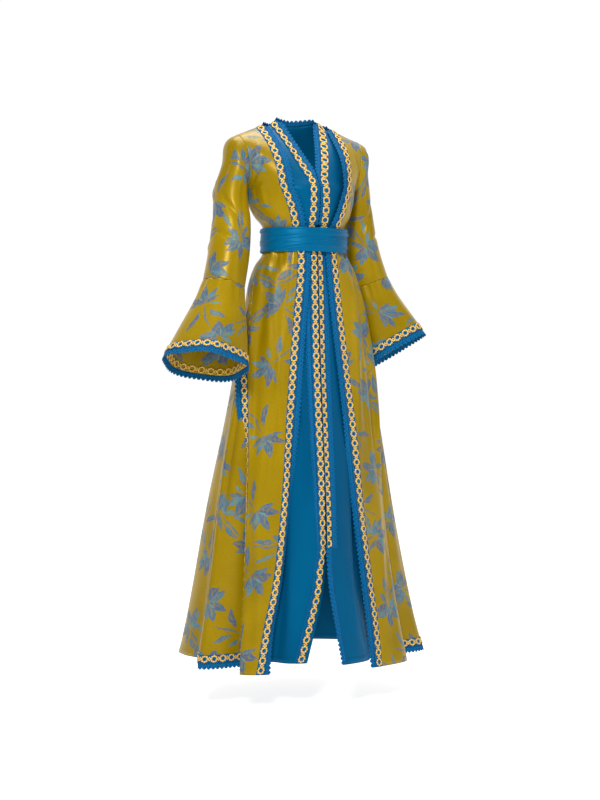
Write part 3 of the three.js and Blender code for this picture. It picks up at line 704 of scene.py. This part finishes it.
def ring_braid(name, band, material, lift=0.9 * MM):
    """Gold braid of lobed rings laid along a band."""
    cell, faces = ring_cell()
    count = max(2, int(round(band.length / RING_PITCH)))
    pitch = band.length / count
    vertices, polygons, uv = [], [], []
    for k in range(count):
        y = (k + 0.5) * pitch + cell[:, 1] * pitch / RING_PITCH
        y = np.clip(y, 0, band.length)
        x = 0.5 + cell[:, 0] / band.across
        vertices.append(band.place(x, y, cell[:, 2] + lift))
        polygons += [tuple(i + k * len(cell) for i in f) for f in faces]
        uv.append(np.stack([x * band.across, y], -1))
    return make_mesh(name, np.concatenate(vertices), polygons, np.concatenate(uv), material)


def backing(name, band, material):
    g = band.grid
    x = np.linspace(0, band.across, g.shape[1])
    uv = np.stack([np.broadcast_to(x, g.shape[:2]), np.broadcast_to(band.run[:, None], g.shape[:2])], -1)
    faces = grid_faces(g.shape[0], g.shape[1], False)
    return shell(make_mesh(name, g.reshape(-1, 3), faces, uv.reshape(-1, 2), material), 0.7 * MM)


# ---- Materials ----


class Shader:
    """A material with short calls for its nodes."""

    def __init__(self, name, **surface):
        self.material = bpy.data.materials.new(name)
        self.material.use_nodes = True
        self.tree = self.material.node_tree
        self.surface = self.tree.nodes["Principled BSDF"]
        self.surface.inputs["Specular IOR Level"].default_value = 0.3
        for key, value in surface.items():
            self.surface.inputs[key.replace("_", " ")].default_value = value
        uv = self.tree.nodes.new("ShaderNodeUVMap")
        uv.uv_map = "cloth"
        self.uv = uv.outputs[0]

    def link(self, value, socket):
        if isinstance(value, bpy.types.NodeSocket):
            self.tree.links.new(value, socket)
        else:
            socket.default_value = value

    def math(self, operation, a, b=0.0, c=0.0):
        node = self.tree.nodes.new("ShaderNodeMath")
        node.operation = operation
        for value, socket in zip((a, b, c), node.inputs):
            self.link(value, socket)
        return node.outputs[0]

    def vector(self, operation, a, b, c=None):
        node = self.tree.nodes.new("ShaderNodeVectorMath")
        node.operation = operation
        self.link(a, node.inputs[0])
        self.link(b, node.inputs[1])
        if c is not None:
            self.link(c, node.inputs[2])
        return node.outputs["Value"] if operation == "DOT_PRODUCT" else node.outputs[0]

    def split(self, vector):
        node = self.tree.nodes.new("ShaderNodeSeparateXYZ")
        self.link(vector, node.inputs[0])
        return node.outputs

    def noise(self, scale, detail=2.0, stretch=None, colour=False):
        node = self.tree.nodes.new("ShaderNodeTexNoise")
        source = self.uv if stretch is None else self.vector("MULTIPLY", self.uv, stretch)
        self.link(source, node.inputs["Vector"])
        node.inputs["Scale"].default_value = scale
        node.inputs["Detail"].default_value = detail
        return node.outputs["Color" if colour else "Fac"]

    def ramp(self, value, low, high, to_low=0.0, to_high=1.0):
        node = self.tree.nodes.new("ShaderNodeMapRange")
        node.interpolation_type = "SMOOTHSTEP"
        for v, k in zip((value, low, high, to_low, to_high), range(5)):
            self.link(v, node.inputs[k])
        return node.outputs[0]

    def mix(self, share, a, b):
        node = self.tree.nodes.new("ShaderNodeMix")
        node.data_type = "RGBA"
        self.link(share, node.inputs[0])
        self.link(a, node.inputs[6])
        self.link(b, node.inputs[7])
        return node.outputs[2]

    def bump(self, height, strength, distance):
        node = self.tree.nodes.new("ShaderNodeBump")
        node.inputs["Strength"].default_value = strength
        node.inputs["Distance"].default_value = distance
        self.link(height, node.inputs["Height"])
        self.link(node.outputs[0], self.surface.inputs["Normal"])

    def colour(self, value):
        self.link(value, self.surface.inputs["Base Color"])

    def roughness(self, value):
        self.link(value, self.surface.inputs["Roughness"])


def rgb(red, green, blue):
    """sRGB 0 to 255 as a linear colour."""
    linear = [((c / 255 + 0.055) / 1.055) ** 2.4 if c > 10 else c / 255 / 12.92 for c in (red, green, blue)]
    return (*linear, 1.0)


# Petals and leaves of a flower spray: direction in degrees, where it starts, length, half width and
# bend, all in millimetres, and its tone from 0 (blue) to 1 (pale).
PETALS = "turn start length width bend tone"
OPEN_FLOWER = table(
    PETALS,
    (88, 3, 56, 12, 8, 0.1),
    (44, 3, 52, 11, -9, 0.5),
    (132, 3, 54, 11, 9, 0.3),
    (4, 4, 48, 11, 10, 0.0),
    (174, 4, 46, 10, -9, 0.6),
    (318, 3, 46, 7, -8, 0.2),
    (212, 3, 42, 7, 8, 0.8),
    (108, 4, 30, 4, -3, 1.0),
    (66, 4, 30, 4, 4, 0.9),
    (262, 4, 84, 3.4, 16, 0.2),
    (286, 30, 56, 7, -14, 0.3),
    (236, 36, 50, 6, 12, 0.7),
)
SIDE_FLOWER = table(
    PETALS,
    (98, 0, 66, 12, 10, 0.2),
    (64, 2, 60, 11, -9, 0.0),
    (130, 2, 58, 10.5, 12, 0.7),
    (42, 4, 48, 7, -12, 0.3),
    (152, 4, 44, 6, 12, 0.1),
    (84, 6, 34, 4, -3, 1.0),
    (275, 0, 88, 3, -12, 0.2),
    (305, 22, 60, 7.5, 14, 0.1),
    (246, 26, 58, 7, -14, 0.5),
    (200, 12, 34, 5, 8, 0.9),
)


def flower_mask(s, local, rows):
    """(how far inside the nearest petal, its tone, distance off its vein) at local coordinates in metres."""
    inside, tone, vein = None, None, None
    for row in rows:
        a = math.radians(row["turn"])
        x = s.vector("DOT_PRODUCT", local, (math.cos(a), math.sin(a), 0))
        y = s.vector("DOT_PRODUCT", local, (-math.sin(a), math.cos(a), 0))
        t = s.math("MULTIPLY_ADD", x, 1 / (row["length"] * MM), -row["start"] / row["length"])
        curve = s.math("MULTIPLY", s.math("MULTIPLY", t, t), -row["bend"] * MM)
        off = s.math("ABSOLUTE", s.math("ADD", y, curve))
        bulge = s.math("MULTIPLY", s.math("MULTIPLY", t, s.math("SUBTRACT", 1.0, t)), 4.0)
        here = s.math("SUBTRACT", bulge, s.math("DIVIDE", off, row["width"] * MM))
        if inside is None:
            inside, tone, vein = here, row["tone"], off
        else:
            nearer = s.math("GREATER_THAN", here, inside)
            tone = mixed(s, nearer, tone, row["tone"])
            vein = mixed(s, nearer, vein, off)
            inside = s.math("MAXIMUM", inside, here)
    return inside, tone, vein


def mixed(s, share, a, b):
    node = s.tree.nodes.new("ShaderNodeMix")
    s.link(share, node.inputs[0])
    s.link(a, node.inputs[2])
    s.link(b, node.inputs[3])
    return node.outputs[0]


def scattered(s, cell, randomness, shift):
    """Local coordinates about scattered places, each turned its own way."""
    where = s.vector("ADD", s.uv, (*shift, 0))
    node = s.tree.nodes.new("ShaderNodeTexVoronoi")
    node.voronoi_dimensions = "2D"
    node.inputs["Scale"].default_value = 1 / cell
    node.inputs["Randomness"].default_value = randomness
    s.link(where, node.inputs["Vector"])
    places = s.vector("SUBTRACT", where, node.outputs["Position"])
    numbers = s.split(node.outputs["Color"])
    turn = s.tree.nodes.new("ShaderNodeVectorRotate")
    turn.rotation_type = "Z_AXIS"
    s.link(places, turn.inputs["Vector"])
    s.link(s.math("MULTIPLY", numbers[0], 6.283), turn.inputs["Angle"])
    return turn.outputs[0]


def jacquard():
    """Mustard satin woven with scattered blue flowers."""
    tint = rgb(255, 215, 120)
    sheen = {"Sheen_Weight": 0.1, "Sheen_Roughness": 0.4, "Sheen_Tint": tint}
    s = Shader("robe_jacquard", Specular_IOR_Level=0.5, Specular_Tint=tint, **sheen)
    base = s.uv
    wobble = s.vector("SUBTRACT", s.noise(30, 3, colour=True), (0.5, 0.5, 0.5))
    s.uv = s.vector("MULTIPLY_ADD", wobble, (0.021, 0.021, 0), base)
    inside, tone, vein = flower_mask(s, scattered(s, 0.19, 0.3, (0.03, 0.02)), OPEN_FLOWER)
    second = flower_mask(s, scattered(s, 0.19, 0.3, (0.125, 0.115)), SIDE_FLOWER)
    nearer = s.math("GREATER_THAN", second[0], inside)
    inside = s.math("MAXIMUM", second[0], inside)
    tone, vein = mixed(s, nearer, tone, second[1]), mixed(s, nearer, vein, second[2])
    petal = s.ramp(inside, 0.0, 0.1)
    rim = s.math("SUBTRACT", petal, s.ramp(inside, 0.12, 0.3))
    s.uv = base
    threads = s.noise(900, 2, stretch=(1.0, 0.22, 1))
    patches = s.noise(45, 4)
    broken = s.ramp(s.noise(170, 4, stretch=(1.0, 0.45, 1)), 0.38, 0.56)
    cover = s.math("MULTIPLY", petal, s.math("MAXIMUM", rim, s.math("MULTIPLY_ADD", broken, 0.5, 0.5)))
    cover = s.math("MULTIPLY", cover, s.ramp(vein, 0.0003, 0.0013, 0.5, 0.95))
    ground = s.mix(s.ramp(s.noise(5, 3), 0.3, 0.7), rgb(130, 107, 0), rgb(149, 123, 3))
    ground = s.mix(s.math("MULTIPLY", s.ramp(threads, 0.35, 0.7), 0.35), ground, rgb(113, 88, 0))
    blues = s.mix(s.ramp(patches, 0.38, 0.6), rgb(12, 84, 130), rgb(40, 80, 122))
    blues = s.mix(s.math("MULTIPLY", tone, s.ramp(patches, 0.3, 0.6, 0.2, 0.9)), blues, rgb(60, 138, 154))
    blues = s.mix(s.math("MULTIPLY", rim, 0.4), blues, rgb(34, 90, 126))
    s.colour(s.mix(cover, ground, blues))
    s.roughness(s.math("MULTIPLY_ADD", cover, 0.2, 0.34))
    relief = s.math("ADD", s.math("MULTIPLY", threads, 0.5), s.math("MULTIPLY", cover, 0.8))
    s.bump(relief, 0.35, 0.0006)
    return s.material


def satin(name, deep, light, tint, hem=None):
    """Plain satin, deep and light by its threads, with a line of stitches at the hem's height."""
    s = Shader(name, Sheen_Weight=0.1, Sheen_Roughness=0.35, Specular_Tint=tint, Sheen_Tint=tint)
    threads = s.noise(1100, 2, stretch=(1.0, 0.25, 1))
    cloudy = s.noise(6, 3, stretch=(1.0, 0.35, 1))
    share = s.math("ADD", s.math("MULTIPLY", cloudy, 0.8), s.math("MULTIPLY", threads, 0.2))
    s.roughness(s.ramp(threads, 0.3, 0.7, 0.36, 0.48))
    relief = threads
    if hem:  # the line of stitches that holds the turned hem
        y = s.split(s.uv)[1]
        line = s.ramp(s.math("ABSOLUTE", s.math("SUBTRACT", y, hem)), 0.0005, 0.0014, 1.0, 0.0)
        relief = s.math("SUBTRACT", threads, s.math("MULTIPLY", line, 2.0))
        share = s.math("SUBTRACT", share, s.math("MULTIPLY", line, 0.5))
    s.colour(s.mix(s.ramp(share, 0.3, 0.85), deep, light))
    s.bump(relief, 0.25, 0.0004)
    return s.material


def lace_material():
    """Blue crochet lace: a row of eyelets beside the seam, twisted cords along it; the eyelets are dented,
    and their near-black colour is painted shade.
    """
    s = Shader("blue_lace", Roughness=0.8, Specular_IOR_Level=0.12)
    x, y, _ = s.split(s.uv)
    eyelets_and_shade = None
    for at_x, pitch in ((2.4 * MM, 6 * MM), (10.5 * MM, 12 * MM)):
        along = s.math("SUBTRACT", s.math("MODULO", y, pitch), pitch / 2)
        across = s.math("SUBTRACT", x, at_x)
        away = s.math("ADD", s.math("MULTIPLY", along, along), s.math("MULTIPLY", across, across))
        # each eyelet: a dent in the relief, and a mask for the painted shade inside it
        eyelet_row_and_shade = s.ramp(away, (1.0 * MM) ** 2, (1.6 * MM) ** 2, 1.0, 0.0)
        eyelets_and_shade = eyelet_row_and_shade if eyelets_and_shade is None else s.math("MAXIMUM", eyelets_and_shade, eyelet_row_and_shade)
    knots = s.noise(420, 3)
    cords = s.math("SINE", s.math("MULTIPLY", s.math("ADD", y, s.math("MULTIPLY", x, 0.6)), 3600))
    light = s.mix(s.ramp(knots, 0.35, 0.65), rgb(0, 74, 118), rgb(0, 102, 156))
    # painted shade: the eyelets are coloured near black for the shadow seen through them
    s.colour(s.mix(s.math("MULTIPLY", eyelets_and_shade, 0.9), light, rgb(0, 16, 32)))
    relief = s.math("ADD", s.math("MULTIPLY", cords, 0.25), knots)
    s.bump(s.math("SUBTRACT", relief, s.math("MULTIPLY", eyelets_and_shade, 2.0)), 0.7, 0.0009)
    return s.material


def gold_material():
    s = Shader("gold_thread", Roughness=0.42, Metallic=0.25)
    strands = s.math("SINE", s.math("MULTIPLY", s.math("ADD", *s.split(s.uv)[:2]), 5200))
    grain = s.noise(700, 3)
    share = s.math("ADD", s.math("MULTIPLY", strands, 0.2), grain)
    s.colour(s.mix(s.ramp(share, 0.3, 0.8), rgb(196, 146, 50), rgb(244, 212, 122)))
    s.bump(share, 0.6, 0.0005)
    return s.material


JACQUARD = jacquard()
TEAL = satin("dress_satin", rgb(0, 66, 102), rgb(0, 86, 126), tint=rgb(60, 190, 255), hem=16 * MM)
SASH = satin("sash_satin", rgb(0, 80, 118), rgb(0, 96, 138), tint=rgb(80, 200, 255))
LACE = lace_material()
GOLD = gold_material()

# ---- The garments ----


def finish(o, nodes):
    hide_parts(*nodes)
    return o


def trims(
    prefix, cloth, edge, nodes, keep=None, closed=False, wave=0.0, beyond=0.0, turn=None, ends=None
):
    """A gold braid on a blue ground along an edge, and a scalloped lace beyond that edge.

    The braid lies on the panel, or hangs past its edge if the lace starts beyond it too.
    """
    inner = np.linspace(0.5 * MM, BRAID_WIDTH + 1 * MM, 5) if not beyond else np.linspace(0, -beyond, 5)
    band = Band(cloth, edge, inner, 1.1 * MM if not beyond else 0.2 * MM, keep, closed, turn)
    outer = Band(cloth, edge, -beyond - np.linspace(0, LACE_WIDTH, 5), 0.2 * MM, keep, closed, turn)
    if wave:
        sway = wave * np.sin(outer.run / 0.031 + np.sin(outer.run / 0.05))[:, None]
        outer.grid += outer.normal * (sway * np.linspace(0, 1, 5))[..., None]
    if ends:
        outer.narrow_ends(both=ends == "both")
    ground = finish(backing(f"{prefix}_ground", band, LACE), [])
    braid = finish(ring_braid(f"{prefix}_braid", band, GOLD), [nodes[0]])
    lace = finish(scallop_lace(f"{prefix}_lace", outer, LACE), [nodes[1]])
    return [ground, braid, lace]


SIDES = ((RIGHT, "right"), (LEFT, "left"))
below = lambda top: lambda p: p[:, 2] <= (top - HOLD) * MM
above = lambda low: lambda p: p[:, 2] >= (low - HOLD) * MM
sheets = []

# How far the trims of the right slit turn back behind its edge, in degrees, at heights in mm.
SLIT_TURNS = table(
    "z turn",
    (25, 84),
    (150, 72),
    (300, 62),
    (540, 56),
    (700, 24),
    (820, 16),
    (930, 60),
    (1070, 78),
)
slit_turn = lambda point: math.radians(float(at(SLIT_TURNS, HOLD + point[2] / MM, "turn")))

slit = lambda z: at(ROBE, z, "slit")
godet_end = lambda z: at(ROBE, z, "godet")
quarter = lambda z: 90.0 + 0 * z

back = back_panel(ROBE, ROBE_FOLDS, ROBE_TOP, BACK_HEM, godet_end, 76)
back.crease(CREASE_TABLES["robe_back"])
back.ripple(1.6 * MM, 22, 3, 11)
nodes = ["robe_back_right", "robe_back_left"]
o = finish(cloth_object("robe_back_cloth", back, JACQUARD, (0.4, 0.1)), nodes)
on_neck = lambda top: lambda p: (abs(p[:, 0]) <= top["neck"][0] * MM + 1e-4) & (
    p[:, 1] >= top["neck"][1] * MM - 1e-4
)
nodes = ["robe_neck_braid", "robe_neck_lace"]
extra = trims("robe_neck", back, "top", nodes, on_neck(ROBE_TOP), ends="both")
sheets.append((o, back, extra))

for side, word in SIDES:
    front = front_panel(ROBE, ROBE_FOLDS, ROBE_TOP, side, FRONT_HEM, slit, 70)
    front.crease(CREASE_TABLES[f"robe_front_{word}"])
    front.ripple(0.9 * MM, 26, 4, 21 + side)
    name = f"robe_front_{word}"
    o = finish(cloth_object(f"{name}_cloth", front, JACQUARD, (0.07 + side, 0.05)), [name])
    nodes = [f"robe_front_braid_{word}", f"robe_front_lace_{word}"]
    extra = trims(f"robe_front_{word}_edge", front, "start", nodes, ends="last")
    if side == RIGHT:
        nodes = ["robe_slit_braid_right", "robe_slit_lace_right"]
        past = {"beyond": BRAID_WIDTH, "turn": slit_turn}
        extra += trims("robe_slit_right", front, "end", nodes, below(SLIT_TRIM_TOP), **past)
    sheets.append((o, front, extra))

    godet = godet_panel(side)
    godet.crease(CREASE_TABLES["robe_godet"])
    godet.ripple(1.4 * MM, 24, 3, 31 + side)
    name = f"robe_godet_{word}"
    o = finish(cloth_object(f"{name}_cloth", godet, JACQUARD, (0.31 * side, 0.4)), [name])
    nodes = [f"robe_hem_braid_{word}", f"robe_hem_lace_{word}"]
    extra = trims(f"robe_hem_{word}", godet, "bottom", nodes, wave=1.5 * MM)
    sheets.append((o, godet, extra))

    sleeve = tube(SLEEVES[side], side, 112, 84)
    sleeve.crease(CREASE_TABLES["sleeve"])
    sleeve.ripple(0.8 * MM, 30, 14, 41 + side)
    name = f"sleeve_{word}"
    o = finish(cloth_object(f"{name}_cloth", sleeve, JACQUARD, (0.5 * side, 0.15)), [name])
    sheets.append((o, sleeve, []))

    wave = lambda turn, share: 5.0 * share * np.cos(np.radians(5 * turn)) + 1.3 * smooth(
        1 - share * 2.2
    ) * np.cos(np.radians(13 * turn + 40 * np.sin(np.radians(3 * turn))))
    flounce = tube(FLOUNCES[side], side, 156, 54, wave)
    flounce.ripple(0.8 * MM, 20, 8, 51 + side)
    name = f"flounce_{word}"
    o = finish(cloth_object(f"{name}_cloth", flounce, JACQUARD, (0.9 * side, 0.6)), [name])
    nodes = [f"cuff_braid_{word}", f"cuff_lace_{word}"]
    extra = trims(f"cuff_{word}", flounce, "top", nodes, closed=True, wave=1.2 * MM)
    lining = Band(flounce, "top", np.linspace(0.5 * MM, BRAID_WIDTH + 1 * MM, 5), -1.1 * MM, closed=True)
    lining.normal = -lining.normal
    extra.append(finish(ring_braid(f"cuff_{word}_inside", lining, GOLD), nodes[:1]))
    sheets.append((o, flounce, extra))

dress_back = back_panel(DRESS, DRESS_FOLDS, DRESS_TOP, DRESS_HEM, quarter, 44)
nodes = ["dress_back_right", "dress_back_left"]
o = finish(cloth_object("dress_back_cloth", dress_back, TEAL), nodes)
nodes = ["dress_neck_braid", "dress_neck_lace"]
extra = trims("dress_neck", dress_back, "top", nodes, on_neck(DRESS_TOP), ends="both")
sheets.append((o, dress_back, extra))

for side, word in SIDES:
    panel = front_panel(DRESS, DRESS_FOLDS, DRESS_TOP, side, DRESS_HEM, quarter, 90)
    panel.crease(CREASE_TABLES[f"dress_front_{word}"])
    panel.ripple(0.6 * MM, 24, 3, 61 + side)
    name = f"dress_front_{word}"
    o = finish(cloth_object(f"{name}_cloth", panel, TEAL, (0.2 * side, 0)), [name])
    under = side == LEFT
    # the braid down the edge; below the sash the left one passes under the right one
    low = DRESS_SLIT_TOP if under else DRESS_HEM - 5
    z = HOLD + panel.points[:, 0, 2] / MM
    border = np.where(z < DRESS_SLIT_TOP, 8, 0) * smooth((DRESS_SLIT_TOP - z) / 60) * (not under) * MM
    shift = 0.4 * MM if not under else -0.6 * MM
    across = np.linspace(0.5 * MM, BRAID_WIDTH + 1 * MM, 5)
    hidden = (COVERED if under else 0) * smooth((COVERED_FROM - z) / 20)
    chosen = above(low)(panel.points[:, 0])
    lines = np.maximum((border - hidden)[chosen, None] + across, 0.3 * MM + 0.06 * across)
    band = Band(panel, "start", lines, 1.1 * MM + shift, above(low))
    ground = finish(backing(f"dress_{word}_ground", band, LACE), [])
    braid = finish(ring_braid(f"dress_{word}_braid", band, GOLD), [f"dress_braid_{word}"])
    # the lace beside it on the skirt, and beyond it round the neckline
    chosen = z <= SASH_LOW
    inset = np.where(z < low, 0.5 * MM, border - hidden + BRAID_WIDTH + 1 * MM)[chosen, None]
    reach = mix(7 * MM, LACE_WIDTH, smooth((z - 250) / 400)[chosen, None])
    lowest = low if under else 0
    upper = lambda p: below(SASH_LOW)(p) & above(lowest)(p)
    picked = z[chosen] >= lowest
    across = inset[picked] + np.linspace(0, 1, 5) * (LACE_WIDTH if under else reach[picked])
    skirt = Band(panel, "start", across, 0.8 * MM, upper)
    nodes = [f"dress_skirt_lace_{word}"]
    beside = [finish(scallop_lace(f"dress_{word}_skirt_lace", skirt, LACE, 4 * MM), nodes)]
    if under:  # down the slit the lace lies on the edge itself, its scallops past it
        edge = Band(panel, "start", np.linspace(14 * MM, -5 * MM, 5), 0.9 * MM, below(low + 12))
        beside.append(finish(scallop_lace("dress_left_slit_lace", edge, LACE), nodes))
    collar = Band(panel, "start", -np.linspace(0, LACE_WIDTH, 5), 0.2 * MM, above(NECKLINE_LOW))
    room = np.clip(np.abs(collar.grid[:, :1, 0]) - 0.5 * MM, 0, LACE_WIDTH) / LACE_WIDTH
    collar.grid = collar.grid[:, :1] + (collar.grid - collar.grid[:, :1]) * room[..., None]
    collar.narrow_ends(both=False)
    lace = finish(scallop_lace(f"dress_{word}_neck_edge", collar, LACE), [f"dress_lace_{word}"])
    sheets.append((o, panel, [ground, braid, *beside, lace]))

# The sash: wound flat, its layers' edges as steps that run round it. Height in mm at angles from the
# centre front, and the step's size.
SASH_STEPS = table(
    "h0 slope wave step",
    (15, 0.30, 1.5, 3.4),
    (46, -0.12, 5.0, 3.0),
    (8, 0.07, 4.0, 2.2),
    (33, 0.16, 2.5, 2.6),
    (57, 0.03, 2.0, 2.0),
    (22, -0.10, 3.5, 1.8),
)


def sash_cloth():
    turn = np.arange(180) * 2.0
    degrees = (turn + 180) % 360 - 180
    h = np.linspace(0, SASH_HEIGHT, 80)[:, None]
    out = 1.2 * np.sin(np.pi * h / SASH_HEIGHT) + 0 * degrees[None]
    for k, s in enumerate(SASH_STEPS):
        line = s["h0"] + s["slope"] * (degrees + 40) + s["wave"] * np.sin(np.radians(2.2 * degrees + 40 * k))
        line = line * smooth((180 - abs(degrees)) / 30)
        above_line = h - line[None]
        out = out + s["step"] * smooth(above_line / 1.4 + 0.5) * np.exp(-np.clip(above_line, 0, None) / 9)
    back = np.cos(np.radians(turn)) < 0
    z = SASH_LOW + h - 1.0 * np.sin(np.radians(2 * turn))[None]
    x = (SASH_HALF_WIDTH + out) * np.sin(np.radians(turn))[None]
    y = -(np.where(back, SASH_BACK, SASH_FRONT)[None] + out) * np.cos(np.radians(turn))[None]
    return Cloth(to_row(np.stack(np.broadcast_arrays(x, y, z), -1)), AXIS, closed=True)


sash = sash_cloth()
o = finish(cloth_object("sash_cloth", sash, SASH), ["sash_inner", "sash_outer"])
sheets.append((o, sash, []))

for o, cloth, extra in sheets:
    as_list(extra)

# ---- Floor and light ----

FLOOR_GLOW = 0.82
WALL_LIGHT, BACKDROP_LIGHT = 0.2, 1.02


def plain(name, colour, roughness):
    s = Shader(name, Roughness=roughness, Emission_Color=(1, 1, 1, 1), Emission_Strength=FLOOR_GLOW)
    s.surface.inputs["Base Color"].default_value = colour
    return s.material


bpy.ops.mesh.primitive_plane_add(size=60, location=(0, 0, FLOOR_Z))
floor = bpy.context.object
floor.name = "floor"
floor.data.materials.append(plain("floor_white", (0.5, 0.5, 0.5, 1), 0.9))


def area_light(name, place, size, power, aim=(0, 0, -0.6)):
    data = bpy.data.lights.new(name, "AREA")
    data.shape, data.size, data.energy = "DISK", size, power
    lamp = bpy.data.objects.new(name, data)
    bpy.context.scene.collection.objects.link(lamp)
    lamp.location = place
    lamp.rotation_euler = (Vector(aim) - Vector(place)).to_track_quat("-Z", "Y").to_euler()


def studio_world():
    """A white backdrop behind the garment and dimmer walls in front of it."""
    world = bpy.data.worlds.new("studio")
    world.use_nodes = True
    nodes, links = world.node_tree.nodes, world.node_tree.links
    place = nodes.new("ShaderNodeTexCoord")
    along = nodes.new("ShaderNodeVectorMath")
    along.operation = "DOT_PRODUCT"
    turn = math.radians(CAMERA_TURN)
    along.inputs[1].default_value = (-math.sin(turn), math.cos(turn), 0)
    links.new(place.outputs["Generated"], along.inputs[0])
    ramp = nodes.new("ShaderNodeMapRange")
    for value, socket in zip((0.2, 0.7, WALL_LIGHT, BACKDROP_LIGHT), list(ramp.inputs)[1:]):
        socket.default_value = value
    links.new(along.outputs["Value"], ramp.inputs[0])
    background = nodes["Background"]
    background.inputs[0].default_value = (1, 1, 1, 1)
    links.new(ramp.outputs[0], background.inputs[1])
    bpy.context.scene.world = world


studio_world()
area_light("key", (-2.2, -3.4, 1.9), 1.0, 185)
area_light("fill", (2.6, -3.6, 0.4), 2.4, 25)
area_light("top", (0.4, 0.6, 3.2), 3.0, 150)
